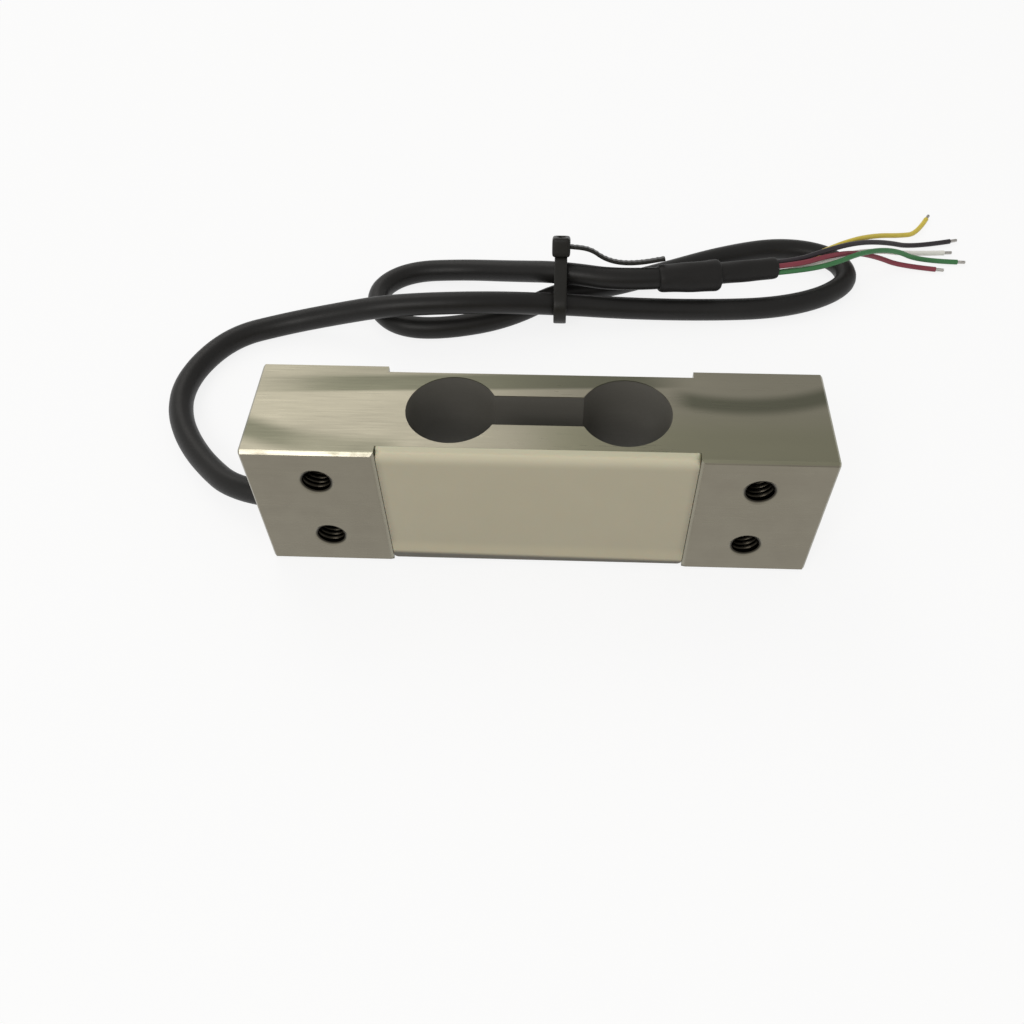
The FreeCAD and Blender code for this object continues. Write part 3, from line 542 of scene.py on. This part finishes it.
# %% [markdown]
# ## Threads in the screw holes
# The CAD holes are plain tapping bores. The thread is a ridge with a pointed section that winds
# down the wall of each hole, one turn per millimetre, which only a close view shows. The two
# holes at the fixed end, where the cable is, are blind; the two at the live end go through.


# %% M6 threads
PITCH, DRILL_RADIUS, CREST_RADIUS, FOOT_SINK = 0.001, 0.0025, 0.00222, 0.00005
RIDGE_SECTION = (-0.42, -0.08, 0.08, 0.42)
TURN_STEPS = 32
HOLE_X, HOLE_RISE, MIDDLE_Z, FACE_Y = 0.038, 0.0075, 0.015, 0.011
THREAD_START, FIXED_THREAD_END = 0.0008, 0.0068


def thread(name, x, z, front, back):
    """A thread ridge down a hole along Y: a blunt triangle carried along a helix.

    The angle is 2 pi times the depth over the pitch. The section's two feet stand in the wall,
    and the two points between them stand inward on the crest's radius.
    """
    turns = (back - front) / PITCH
    a = np.linspace(0, 2 * np.pi * turns, int(TURN_STEPS * turns))[:, None]
    foot = DRILL_RADIUS + FOOT_SINK
    radius = np.array((foot, CREST_RADIUS, CREST_RADIUS, foot))[None, :]
    y = front + PITCH * a / (2 * np.pi) + PITCH * np.array(RIDGE_SECTION)[None, :]
    grid = np.stack([x + radius * np.cos(a), y, z + radius * np.sin(a)], axis=-1)
    return skin(name, grid)


threads = []
for label, z in (("low", MIDDLE_Z - HOLE_RISE), ("high", MIDDLE_Z + HOLE_RISE)):
    start = THREAD_START - FACE_Y
    threads.append(thread("thread_fixed_" + label, -HOLE_X, z, start, FIXED_THREAD_END - FACE_Y))
    threads.append(thread("thread_live_" + label, HOLE_X, z, start, -start))
for piece in threads:
    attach(piece, "root")
print("threads:", [piece.name for piece in threads])

# %% [markdown]
# ## How many cords there are
# Each cord is a real cable of a certain length and stiffness; here they are only counted.

print("cords declared:", 1 + len(cores))

# %% [markdown]
# ## Materials
# Every finish is a node tree on Object coordinates, so it stays on its piece from every side.
# One helper makes the shader with its fixed values, and small helpers add noise, ramps and
# bump, each at the scale that the real surface has.


# %% Start a material and place a noise on it
def new_material(name, colour, roughness, metallic=0.0, **sockets):
    """A material whose Principled shader has these fixed values, its node tree and the shader."""
    material = bpy.data.materials.new(name)
    material.use_nodes = True
    shader = material.node_tree.nodes["Principled BSDF"]
    shader.inputs["Base Color"].default_value = (*colour, 1)
    shader.inputs["Roughness"].default_value = roughness
    shader.inputs["Metallic"].default_value = metallic
    for socket, value in sockets.items():
        shader.inputs[socket.replace("_", " ")].default_value = value
    return material, material.node_tree, shader


def object_place(tree, stretch=(1, 1, 1)):
    """Object coordinates, stretched along each axis by a Mapping node."""
    coordinates = tree.nodes.new("ShaderNodeTexCoord")
    mapping = tree.nodes.new("ShaderNodeMapping")
    mapping.inputs["Scale"].default_value = stretch
    tree.links.new(coordinates.outputs["Object"], mapping.inputs["Vector"])
    return mapping.outputs["Vector"]


def noise(tree, place, scale, detail=3, roughness=0.5):
    """The grey value of a noise at this many cells per metre."""
    node = tree.nodes.new("ShaderNodeTexNoise")
    node.inputs["Scale"].default_value = scale
    node.inputs["Detail"].default_value = detail
    node.inputs["Roughness"].default_value = roughness
    tree.links.new(place, node.inputs["Vector"])
    return node.outputs["Fac"]


print("material starters ready")

# %% [markdown]
# ## Ramps, blends and bump
# A ramp carries a grey value from one range to another, in a straight line or softly. A mask,
# which is 1 where something shows and 0 elsewhere, is such a ramp on a place or a noise, and a
# blend lays one more colour over the last by a mask. The bump keeps its real height in metres.


# %% Ramp, blend and bump
def ramp(tree, value, start, end, low=0.0, high=1.0, kind="SMOOTHSTEP"):
    """A grey value that goes from low to high while another goes from start to end."""
    node = tree.nodes.new("ShaderNodeMapRange")
    node.interpolation_type = kind
    for socket, number in (("From Min", start), ("From Max", end),
                           ("To Min", low), ("To Max", high)):
        node.inputs[socket].default_value = number
    tree.links.new(value, node.inputs["Value"])
    return node.outputs["Result"]


def blend_colours(tree, mask, first, second):
    """A colour between two, by a mask; the first may be the result of another blend."""
    node = tree.nodes.new("ShaderNodeMix")
    node.data_type = "RGBA"
    if isinstance(first, tuple):
        node.inputs["A"].default_value = (*first, 1)
    else:
        tree.links.new(first, node.inputs["A"])
    node.inputs["B"].default_value = (*second, 1)
    tree.links.new(mask, node.inputs["Factor"])
    return node.outputs["Result"]


def add_bump(tree, shader, height, distance, strength):
    """A bump of this real height, in metres, on the shader's normal."""
    bump = tree.nodes.new("ShaderNodeBump")
    bump.inputs["Distance"].default_value = distance
    bump.inputs["Strength"].default_value = strength
    tree.links.new(height, bump.inputs["Height"])
    tree.links.new(bump.outputs["Normal"], shader.inputs["Normal"])


def dress(piece, material):
    """Gives a piece or a CAD node this one material."""
    piece.data.materials.clear()
    piece.data.materials.append(material)


print("ramp, blend and bump ready")

# %% [markdown]
# ## Arithmetic on places
# A mask that follows the shape needs the place itself: a bore is a distance from an axis, and the
# front and the rear are one distance from the middle. These helpers do that arithmetic with Math
# nodes, so that the pattern stays sharp at any size, which a painted texture wouldn't.


# %% Places and distances
def place_axes(tree):
    """The x, y and z of the object coordinates as three grey values."""
    split = tree.nodes.new("ShaderNodeSeparateXYZ")
    coordinates = tree.nodes.new("ShaderNodeTexCoord")
    tree.links.new(coordinates.outputs["Object"], split.inputs["Vector"])
    return split.outputs["X"], split.outputs["Y"], split.outputs["Z"]


def math_step(tree, operation, first, second=0.0):
    """One step of arithmetic on a grey value, with a second value or a fixed number."""
    node = tree.nodes.new("ShaderNodeMath")
    node.operation = operation
    tree.links.new(first, node.inputs[0])
    if isinstance(second, float):
        node.inputs[1].default_value = second
    else:
        tree.links.new(second, node.inputs[1])
    return node.outputs["Value"]


def product(tree, first, *others):
    """Several masks multiplied."""
    for other in others:
        first = math_step(tree, "MULTIPLY", first, other)
    return first


def distance_from(tree, value, middle=0.0):
    """How far a grey value is from a middle one, on either side."""
    if middle:
        value = math_step(tree, "SUBTRACT", value, middle)
    return math_step(tree, "ABSOLUTE", value)


def distance_in_plane(tree, across, up, centre):
    """The distance from a centre in one plane: the root of the two squares added."""
    squares = [math_step(tree, "POWER", distance_from(tree, value, middle), 2.0)
               for value, middle in zip((across, up), centre)]
    return math_step(tree, "SQRT", math_step(tree, "ADD", *squares))


print("place helpers ready")

# %% [markdown]
# ## Painted reflections on the top, and the bores
# Dark arcs on the top face and a band along its back edge are painted dark reflections. The bores
# are rougher and less metallic inside, and their darker colour is painted shade. Each fade below
# holds where it starts and ends, and, where it isn't from 0 to 1, its strength at either end.

# %% Painted reflections and the bores
TOP_FADE = (0.0295, 0.0297)
# The two arcs and the back band below are where dark reflections are painted on the top face.
RIGHT_REFLECTION_ARC = ((0.035, 0.044), 0.0419, 0.0031)
RIGHT_FADE = (0.022, 0.027)
LEFT_REFLECTION_ARC = ((-0.026, 0.0572), 0.0669, 0.0038)
LEFT_FADES = (-0.047, -0.036, 1.0, 0.65), (-0.027, -0.020, 1.0, 0.0)
REFLECTION_ARC_CORE = 0.2
BACK_BAND, BACK_BAND_TILT = (0.0049, 0.0058), 0.042
BACK_EDGE_FADE = (0.0086, 0.0099, 1.0, 0.35)
BACK_FADES = (-0.052, -0.033, 0.2, 1.0), (0.016, 0.028, 1.0, 0.0)
BORE_TOP = (0.0297, 0.02998, 1.0, 0.0)
BORE_X = (0.0232, 0.0238, 1.0, 0.0)
BORE_Y = (0.0082, 0.0087, 1.0, 0.0)


def reflection_arc(tree, x, y, centre, radius, half_width):
    """1 on a ring of the top face where a dark reflection is painted, 0 away from it."""
    away = distance_in_plane(tree, x, y, centre)
    off = distance_from(tree, away, radius)
    return ramp(tree, off, REFLECTION_ARC_CORE * half_width, half_width, 1.0, 0.0)


def dark_reflection_places(tree, x, y, z):
    """1 where dark reflections are painted on the top face: two arcs and a band along the back
    edge.
    """
    right = product(tree, reflection_arc(tree, x, y, *RIGHT_REFLECTION_ARC), ramp(tree, x, *RIGHT_FADE))
    left = product(tree, reflection_arc(tree, x, y, *LEFT_REFLECTION_ARC),
                   *[ramp(tree, x, *fade) for fade in LEFT_FADES])
    across = math_step(tree, "SUBTRACT", y, math_step(tree, "MULTIPLY", x, BACK_BAND_TILT))
    back = product(tree, ramp(tree, across, *BACK_BAND), ramp(tree, across, *BACK_EDGE_FADE),
                   *[ramp(tree, x, *fade) for fade in BACK_FADES])
    most = math_step(tree, "MAXIMUM", math_step(tree, "MAXIMUM", left, right), back)
    return product(tree, most, ramp(tree, z, *TOP_FADE))


def bored_places(tree, x, y, z):
    """1 on the walls of the two bores and the slot, inside this box: rougher, and darker with
    painted shade.
    """
    return product(tree, ramp(tree, z, *BORE_TOP), ramp(tree, distance_from(tree, x), *BORE_X),
                   ramp(tree, distance_from(tree, y), *BORE_Y))


# Masks of the painted dark reflections and of the bore walls.
print("cutter and bore masks ready")

# %% [markdown]
# ## Painted shade, contact shadow and highlight
# Shade is painted down the tapped holes, a contact shadow along the foot and a little higher in
# the recess, and a highlight on the upper edges of the mounting faces at the cable's end. The
# four holes are alike, so their distances from the block's middle fold them onto one.

# %% Painted shade, contact shadow and highlight
# painted shade down the screw holes
HOLE_WALL = (0.0026, 0.0031, 1.0, 0.0)
HOLE_MOUTH = (0.0107, 0.01098, 1.0, 0.0)
# a painted contact shadow along the foot, and a little higher in the recess
FOOT_SHADOW = (0.0003, 0.0009, 0.8, 0.0)
RECESS_SHADOW = (0.0018, 0.0024, 1.0, 0.0)
RECESS_DEPTH = (0.0092, 0.0098, 1.0, 0.0)
RECESS_END = (0.0274, 0.0278, 1.0, 0.0)
# a painted highlight on the upper edges of the mounting faces
HIGHLIGHT_DEPTH, HIGHLIGHT_RISE = (0.0104, 0.0106), (0.0293, 0.0295)
HIGHLIGHT_BLOTS, HIGHLIGHT_LEFT = (0.35, 0.55), (-0.01, 0.01, 1.0, 0.0)


def hole_shade_places(tree, x, y, z):
    """1 where shade is painted down the screw holes, by the distance from their axis and from the
    block's faces.
    """
    away = distance_in_plane(tree, distance_from(tree, x), distance_from(tree, z, MIDDLE_Z),
                             (HOLE_X, HOLE_RISE))
    return product(tree, ramp(tree, away, *HOLE_WALL),
                   ramp(tree, distance_from(tree, y), *HOLE_MOUTH))


def foot_shadow_places(tree, x, depth, z):
    """1 along the foot of the block, and a little higher in the recess, where a contact shadow is
    painted.
    """
    foot = ramp(tree, z, *FOOT_SHADOW)
    recess = product(tree, ramp(tree, z, *RECESS_SHADOW), ramp(tree, depth, *RECESS_DEPTH),
                     ramp(tree, distance_from(tree, x), *RECESS_END))
    return math_step(tree, "MAXIMUM", foot, recess)


def edge_highlight_places(tree, x, depth, z, blots):
    """1 in blots along the mounting faces' upper edges at the cable's end, where a highlight is
    painted.
    """
    return product(tree, ramp(tree, depth, *HIGHLIGHT_DEPTH), ramp(tree, z, *HIGHLIGHT_RISE),
                   ramp(tree, blots, *HIGHLIGHT_BLOTS), ramp(tree, x, *HIGHLIGHT_LEFT))


# Masks of the painted shade in the holes, the painted contact shadow and the painted highlight.
print("oil, grime and wear masks ready")

# %% [markdown]
# ## Milled aluminium
# The block is cut from drawn bar and its faces are milled, so it has fine lines along its length,
# with long soft bands where the cutter passed. Noise stretched along X gives both, one fine and
# one broad, and they change roughness and height more than colour, as real tool marks do. Painted
# shade then darkens the front and rear faces and the front right of the top, and the masks of the
# last two steps lay their painted reflections, shade, contact shadow and highlight over it, one
# after the other.

# %% Aluminium
# Beside the metal's own tones, this table holds painted shade for the front and rear faces, the
# front right of the top, the bore walls and the holes, painted dark reflections for the top, a
# painted contact shadow for the foot and a painted highlight for the upper edges.
ALUMINIUM = {
    "plain": (0.30, 0.28, 0.22), "dark_bands": (0.285, 0.268, 0.208),
    "pale_bands": (0.325, 0.306, 0.242), "faces": (0.225, 0.205, 0.160),
    "shaded_top_right": (0.260, 0.253, 0.180), "dark_reflection": (0.148, 0.148, 0.107),
    "bore_walls_and_shade": (0.165, 0.158, 0.138), "hole_shade": (0.035, 0.031, 0.024), "edge_highlight": (0.37, 0.35, 0.29),
    "foot_shadow": (0.085, 0.076, 0.058),
}
LINE_STRETCH, LINES = (30, 900, 900), 4
BAND_STRETCH, BANDS = (6, 60, 60), 3
GRIT, BLOTS = 2600, 220
# painted shade on the front and rear faces, uneven in blots
SHADED_FACE_DEPTH, SHADED_FACE_BLOTS = (0.0106, 0.01095), (0.2, 0.8, 1.0, 0.8)
# painted shade on the front right of the top face
SHADED_TOP_RIGHT_X, SHADED_TOP_RIGHT_Y = (-0.006, 0.008), (0.004, -0.006)
SATIN = (0.7, 1.3, 0.25, 0.40)
BORE_METAL, BORE_ROUGHER = 0.4, 0.25
GRIT_SHARE, TOOL_MARK, MARK_STRENGTH = 0.4, 0.00002, 0.5


def make_aluminium():
    """Satin milled aluminium, lines along X and matte bores, with painted light and shade laid
    over it.
    """
    material, tree, shader = new_material("milled_aluminium", ALUMINIUM["plain"],
                                          roughness=0.32, metallic=1.0)
    lines = noise(tree, object_place(tree, LINE_STRETCH), LINES, detail=2)
    bands = noise(tree, object_place(tree, BAND_STRETCH), BANDS, detail=2)
    grit = noise(tree, object_place(tree), GRIT, detail=2)
    blots = noise(tree, object_place(tree), BLOTS)
    x, y, z = place_axes(tree)
    depth = distance_from(tree, y)
    bore_walls_and_shade = bored_places(tree, x, y, z)
    masks = {
        # painted shade on the front and rear faces, uneven in blots
        "faces": product(tree, ramp(tree, depth, *SHADED_FACE_DEPTH), ramp(tree, blots, *SHADED_FACE_BLOTS)),
        # painted shade on the front right of the top face
        "shaded_top_right": product(tree, ramp(tree, z, *TOP_FADE), ramp(tree, x, *SHADED_TOP_RIGHT_X),
                             ramp(tree, y, *SHADED_TOP_RIGHT_Y)),
        # painted dark reflections on the top face
        "dark_reflection": dark_reflection_places(tree, x, y, z),
        # bore walls: rougher and less metallic, and darker with painted shade
        "bore_walls_and_shade": bore_walls_and_shade,
        # painted shade down the screw holes
        "hole_shade": hole_shade_places(tree, x, y, z),
        # a painted highlight on the upper edges of the mounting faces
        "edge_highlight": edge_highlight_places(tree, x, depth, z, blots),
        # a painted contact shadow along the foot and in the recess
        "foot_shadow": foot_shadow_places(tree, x, depth, z),
    }
    colour = blend_colours(tree, bands, ALUMINIUM["dark_bands"], ALUMINIUM["pale_bands"])
    for place, mask in masks.items():
        colour = blend_colours(tree, mask, colour, ALUMINIUM[place])
    tree.links.new(colour, shader.inputs["Base Color"])

    tree.links.new(ramp(tree, bore_walls_and_shade, 0, 1, 1.0, BORE_METAL), shader.inputs["Metallic"])
    gloss = ramp(tree, math_step(tree, "ADD", lines, bands), *SATIN, kind="LINEAR")
    tree.links.new(math_step(tree, "ADD", gloss, product(tree, bore_walls_and_shade, BORE_ROUGHER)),
                   shader.inputs["Roughness"])
    height = math_step(tree, "ADD", lines, product(tree, grit, GRIT_SHARE))
    add_bump(tree, shader, height, TOOL_MARK, MARK_STRENGTH)
    return material


aluminium = make_aluminium()
for piece in [frame["nodes"]["spring_element"], *threads]:
    dress(piece, aluminium)
print("aluminium on the block and", len(threads), "threads")

# %% [markdown]
# ## Cover silicone
# The pads are cast in cream silicone. It is smooth and a little glossy, and light goes a short
# way into it, so the shader gets a small subsurface part and a very soft unevenness. A painted
# highlight makes the upper edge paler, painted shade darkens the two ends, painted light makes
# the lower part a little paler, and a painted contact shadow lies along the foot, a little higher
# at the cable's end. A slope in x, FOOT_TILT, is added to z for the last two.

# %% Cover silicone
# Beside the silicone's own tones, this table holds painted shade for the ends, painted light low
# down, a painted highlight on top and a painted contact shadow at the foot.
SILICONE = {
    "plain": (0.365, 0.332, 0.237), "deep": (0.352, 0.320, 0.228), "pale": (0.378, 0.344, 0.247),
    "shaded_ends": (0.300, 0.272, 0.195), "low": (0.415, 0.375, 0.262), "top_highlight": (0.545, 0.505, 0.365),
    "foot": (0.085, 0.078, 0.060),
}
# where the painted shade at the ends and the painted highlight on top lie
PAD_END_SHADE, PAD_TOP_HIGHLIGHT = (0.0258, 0.0271), (0.0266, 0.0297)
# painted light low down and a painted contact shadow along the foot, both tilted in x
PAD_LOW_LIGHT, PAD_FOOT_SHADOW, FOOT_TILT = (0.0062, 0.0034), (0.0026, 0.0014), 0.015
CLOUDS, DIMPLES, DIMPLE_GLOSS = 60, 900, (0, 1, 0.38, 0.50)
DIMPLE_HEIGHT, DIMPLE_STRENGTH = 0.00003, 0.4


def make_cover_silicone():
    """Cream silicone with clouds and dimples, and painted light and shade at its edges and foot.
    """
    material, tree, shader = new_material("cream_silicone", SILICONE["plain"], roughness=0.42,
                                          Subsurface_Weight=0.12, Subsurface_Scale=0.002)
    clouds = noise(tree, object_place(tree), CLOUDS)
    x, y, z = place_axes(tree)
    tilted = math_step(tree, "ADD", z, product(tree, x, FOOT_TILT))
    masks = {
        # painted shade at the two ends, where they meet the recess
        "shaded_ends": ramp(tree, distance_from(tree, x), *PAD_END_SHADE),
        # painted light: a little paler low down
        "low": ramp(tree, tilted, *PAD_LOW_LIGHT),
        # a painted highlight along the upper edge
        "top_highlight": ramp(tree, z, *PAD_TOP_HIGHLIGHT),
        # a painted contact shadow along the foot
        "foot": ramp(tree, tilted, *PAD_FOOT_SHADOW),
    }
    colour = blend_colours(tree, clouds, SILICONE["deep"], SILICONE["pale"])
    for place, mask in masks.items():
        colour = blend_colours(tree, mask, colour, SILICONE[place])
    tree.links.new(colour, shader.inputs["Base Color"])
    dimples = noise(tree, object_place(tree), DIMPLES, detail=2)
    tree.links.new(ramp(tree, dimples, *DIMPLE_GLOSS, kind="LINEAR"), shader.inputs["Roughness"])
    add_bump(tree, shader, dimples, DIMPLE_HEIGHT, DIMPLE_STRENGTH)
    return material


silicone = make_cover_silicone()
for piece in covers.values():
    dress(piece, silicone)
print("silicone on", len(covers), "covers")

# %% [markdown]
# ## Cable jacket and the other plastics
# The jacket is soft black PVC with the fine, slightly greasy grain of extruded lead. The sleeve
# is heat-shrink tube, duller and wrinkled, and the tie is nylon. One function makes them all:
# they differ in colour, roughness and grain.

# %% Plastics
# colour, roughness, grains per metre and the grain's height in metres
PLASTICS = {
    "cable_pvc": ((0.0088, 0.0084, 0.0080), 0.42, 1500, 0.00004),
    "shrink_tube": ((0.0080, 0.0074, 0.0070), 0.55, 900, 0.00006),
    "tie_nylon": ((0.0105, 0.0100, 0.0085), 0.40, 1200, 0.00003),
    "seal_rubber": ((0.025, 0.025, 0.025), 0.70, 1500, 0.00004),
    "bundle_filler": ((0.16, 0.10, 0.09), 0.80, 1500, 0.00008),
    "core_yellow": ((0.58, 0.46, 0.06), 0.42, 2000, 0.00002),
    "core_black": ((0.026, 0.022, 0.026), 0.42, 2000, 0.00002),
    "core_red": ((0.19, 0.035, 0.05), 0.42, 2000, 0.00002),
    "core_green": ((0.042, 0.155, 0.058), 0.42, 2000, 0.00002),
    "core_white": ((0.70, 0.69, 0.65), 0.45, 2000, 0.00002),
    "gauge_film": ((0.50, 0.27, 0.07), 0.35, 1200, 0.00002),
    "terminal_board": ((0.05, 0.20, 0.08), 0.45, 1400, 0.00003),
    "resistor_ceramic": ((0.05, 0.05, 0.055), 0.50, 2500, 0.00003),
}
SHINE = 0.25
SMOOTHER, ROUGHER, GRAIN_STRENGTH = 0.06, 0.08, 0.5
BROAD_SHARE, PALER_BY, PALER_PLUS = 12, 1.25, 0.004


def make_plastic(name, colour, roughness, grain, height):
    """A moulded or extruded plastic: a fine grain on gloss and height, a broad one on colour."""
    material, tree, shader = new_material(name, colour, roughness, Specular_IOR_Level=SHINE)
    place = object_place(tree)
    fine = noise(tree, place, grain, roughness=0.6)
    broad = noise(tree, place, grain / BROAD_SHARE, detail=2)
    paler = tuple(min(1.0, PALER_BY * part + PALER_PLUS) for part in colour)
    tree.links.new(blend_colours(tree, broad, colour, paler), shader.inputs["Base Color"])
    gloss = ramp(tree, fine, 0, 1, roughness - SMOOTHER, roughness + ROUGHER, "LINEAR")
    tree.links.new(gloss, shader.inputs["Roughness"])
    add_bump(tree, shader, fine, height, GRAIN_STRENGTH)
    return material


plastics = {name: make_plastic(name, *values) for name, values in PLASTICS.items()}
print("plastics:", sorted(plastics))

# %% [markdown]
# ## Dressing the plastic pieces
# The new pieces and the frame's own small solids share the same few plastics. The leads inside
# the block, for one, are the other ends of the cable's cores, so they take the cores' colours.

# %% Plastics on their pieces
CARRIED = {
    "seal_rubber": ["cable_seal"],
    "bundle_filler": ["core_bundle"],
    "gauge_film": ["gauge_front_left", "gauge_front_right", "gauge_rear_left",
                   "gauge_rear_right"],
    "terminal_board": ["terminal_strip_front", "terminal_strip_rear"],
    "resistor_ceramic": ["span_resistor", "zero_resistor"],
    "core_red": ["lead_red"],
    "core_black": ["lead_black"],
    "core_green": ["lead_green"],
    "core_white": ["lead_white"],
}
dress(cable, plastics["cable_pvc"])
for colour, core in cores.items():
    dress(core, plastics["core_" + colour])
for name, nodes_of_it in CARRIED.items():
    for node in nodes_of_it:
        dress(frame["nodes"][node], plastics[name])
for piece in (sleeve, collar):
    dress(piece, plastics["shrink_tube"])
for piece in (band, head, tail):
    dress(piece, plastics["tie_nylon"])
print("CAD nodes in plastic:", sum(len(nodes_of_it) for nodes_of_it in CARRIED.values()))

# %% [markdown]
# ## Bare wire
# The tinned ends of the cores and the enamelled wires between the gauges are drawn copper, one
# silvery with solder and one brown under its enamel. A fine noise gives both their tarnish.


# %% Wires and tinned ends
TARNISH, TARNISH_DARK = 1800, 0.6
BRIGHTER, DULLER = 0.08, 0.12


def make_wire_metal(name, colour, roughness):
    """Drawn wire: metal with fine darker and duller specks of tarnish."""
    material, tree, shader = new_material(name, colour, roughness, metallic=1.0)
    tarnish = noise(tree, object_place(tree), TARNISH, detail=2)
    darker = tuple(TARNISH_DARK * part for part in colour)
    tree.links.new(blend_colours(tree, tarnish, colour, darker), shader.inputs["Base Color"])
    gloss = ramp(tree, tarnish, 0, 1, roughness - BRIGHTER, roughness + DULLER, "LINEAR")
    tree.links.new(gloss, shader.inputs["Roughness"])
    return material


tinned = make_wire_metal("tinned_copper", (0.55, 0.53, 0.50), 0.35)
enamelled = make_wire_metal("enamelled_copper", (0.50, 0.20, 0.09), 0.30)
for tip in tips.values():
    dress(tip, tinned)
for node in ("bridge_wires_front", "bridge_wires_rear", "link_wires"):
    dress(frame["nodes"][node], enamelled)
print("wire metals:", tinned.name, enamelled.name)

# %% [markdown]
# ## Floor
# The cell lies on a white bench. Most of the floor's colour is its own glow where the camera or
# a reflection sees it, so it reads as white, and the rest still carries the soft shadow. The
# light it throws back stays that of plain paper.

# %% Floor
FLOOR_HALF = 0.6
PAPER, PAPER_ROUGHNESS = (0.90, 0.90, 0.90), 0.9
GLOW_SHARE = 0.84


def make_white_bench():
    """White paper that mostly glows for the camera and for reflections, and keeps shadows."""
    material, tree, shader = new_material("white_bench", PAPER, PAPER_ROUGHNESS,
                                          Specular_IOR_Level=0.0)
    glow = tree.nodes.new("ShaderNodeEmission")
    glow.inputs["Color"].default_value = (1, 1, 1, 1)
    rays = tree.nodes.new("ShaderNodeLightPath").outputs
    mirrored = math_step(tree, "MAXIMUM", rays["Is Glossy Ray"], rays["Is Transmission Ray"])
    seen = math_step(tree, "MAXIMUM", rays["Is Camera Ray"], mirrored)
    mixed = tree.nodes.new("ShaderNodeMixShader")
    tree.links.new(product(tree, seen, GLOW_SHARE), mixed.inputs["Fac"])
    tree.links.new(shader.outputs["BSDF"], mixed.inputs[1])
    tree.links.new(glow.outputs["Emission"], mixed.inputs[2])
    tree.links.new(mixed.outputs["Shader"], tree.nodes["Material Output"].inputs["Surface"])
    return material


floor_mesh = bpy.data.meshes.new("floor")
corners = FLOOR_HALF * np.array([(-1, -1, 0), (1, -1, 0), (1, 1, 0), (-1, 1, 0)])
floor_mesh.from_pydata(corners.tolist(), [], [(0, 1, 2, 3)])
floor = bpy.data.objects.new("floor", floor_mesh)
bpy.context.collection.objects.link(floor)
dress(floor, make_white_bench())
print("floor", 2 * FLOOR_HALF, "m wide")

# %% [markdown]
# ## Lamps
# Two large soft lamps stand for a window behind the cell on the left and the room in front. A
# broad lamp gives metal a soft gradient, where a small one would leave a hard spot. Both face
# the middle of the bench, so their turn is worked out from their place.


# %% Lamps
LAMPS = {
    "window": {"place": (-0.29, 0.57, 0.64), "width": 0.47, "power": 1.1,
               "colour": (1.0, 0.97, 0.92)},
    "room": {"place": (-0.32, -0.62, 0.62), "width": 0.40, "power": 2.6,
             "colour": (1.0, 0.98, 0.95)},
}


def area_lamp(name, place, width, power, colour):
    """A square lamp at a place, turned so that it faces the origin.

    Its slope is the angle whose tangent is the distance across over the height, and its heading
    is that of the line to the origin, less a quarter turn.
    """
    lamp_data = bpy.data.lights.new(name, "AREA")
    lamp_data.shape = "RECTANGLE"
    lamp_data.size = lamp_data.size_y = width
    lamp_data.energy = power
    lamp_data.color = colour
    lamp = bpy.data.objects.new(name, lamp_data)
    x, y, z = place
    lamp.location = place
    lamp.rotation_euler = (math.atan2(math.hypot(x, y), z), 0, math.atan2(-y, -x) - math.pi / 2)
    bpy.context.collection.objects.link(lamp)
    return lamp


lamps = [area_lamp(name, **values) for name, values in LAMPS.items()]
print("lamps:", [lamp.name for lamp in lamps])

# %% [markdown]
# ## Surroundings
# Metal shows the room around it, so the world isn't one flat grey. It is dimmer to the right and
# palest low down, where a room's walls meet the bench. A captured room would do the same, but two
# ramps on the direction are lighter and neutral.

# %% Surroundings
ROOM_TINT = (1.0, 0.99, 0.97, 1)
SIDEWAYS_LEVEL, LOW_LEVEL = (-0.7, 0.5, 0.66, 0.54), (0.05, 0.45, 0.25, 0.0)

world = bpy.data.worlds.new("surroundings")
bpy.context.scene.world = world
world.use_nodes = True
world_tree = world.node_tree
split = world_tree.nodes.new("ShaderNodeSeparateXYZ")
direction = world_tree.nodes.new("ShaderNodeTexCoord").outputs["Generated"]
world_tree.links.new(direction, split.inputs["Vector"])
level = math_step(world_tree, "ADD", ramp(world_tree, split.outputs["X"], *SIDEWAYS_LEVEL),
                  ramp(world_tree, split.outputs["Z"], *LOW_LEVEL))
background = world_tree.nodes["Background"]
background.inputs["Color"].default_value = ROOM_TINT
world_tree.links.new(level, background.inputs["Strength"])
print("surroundings:", world.name)
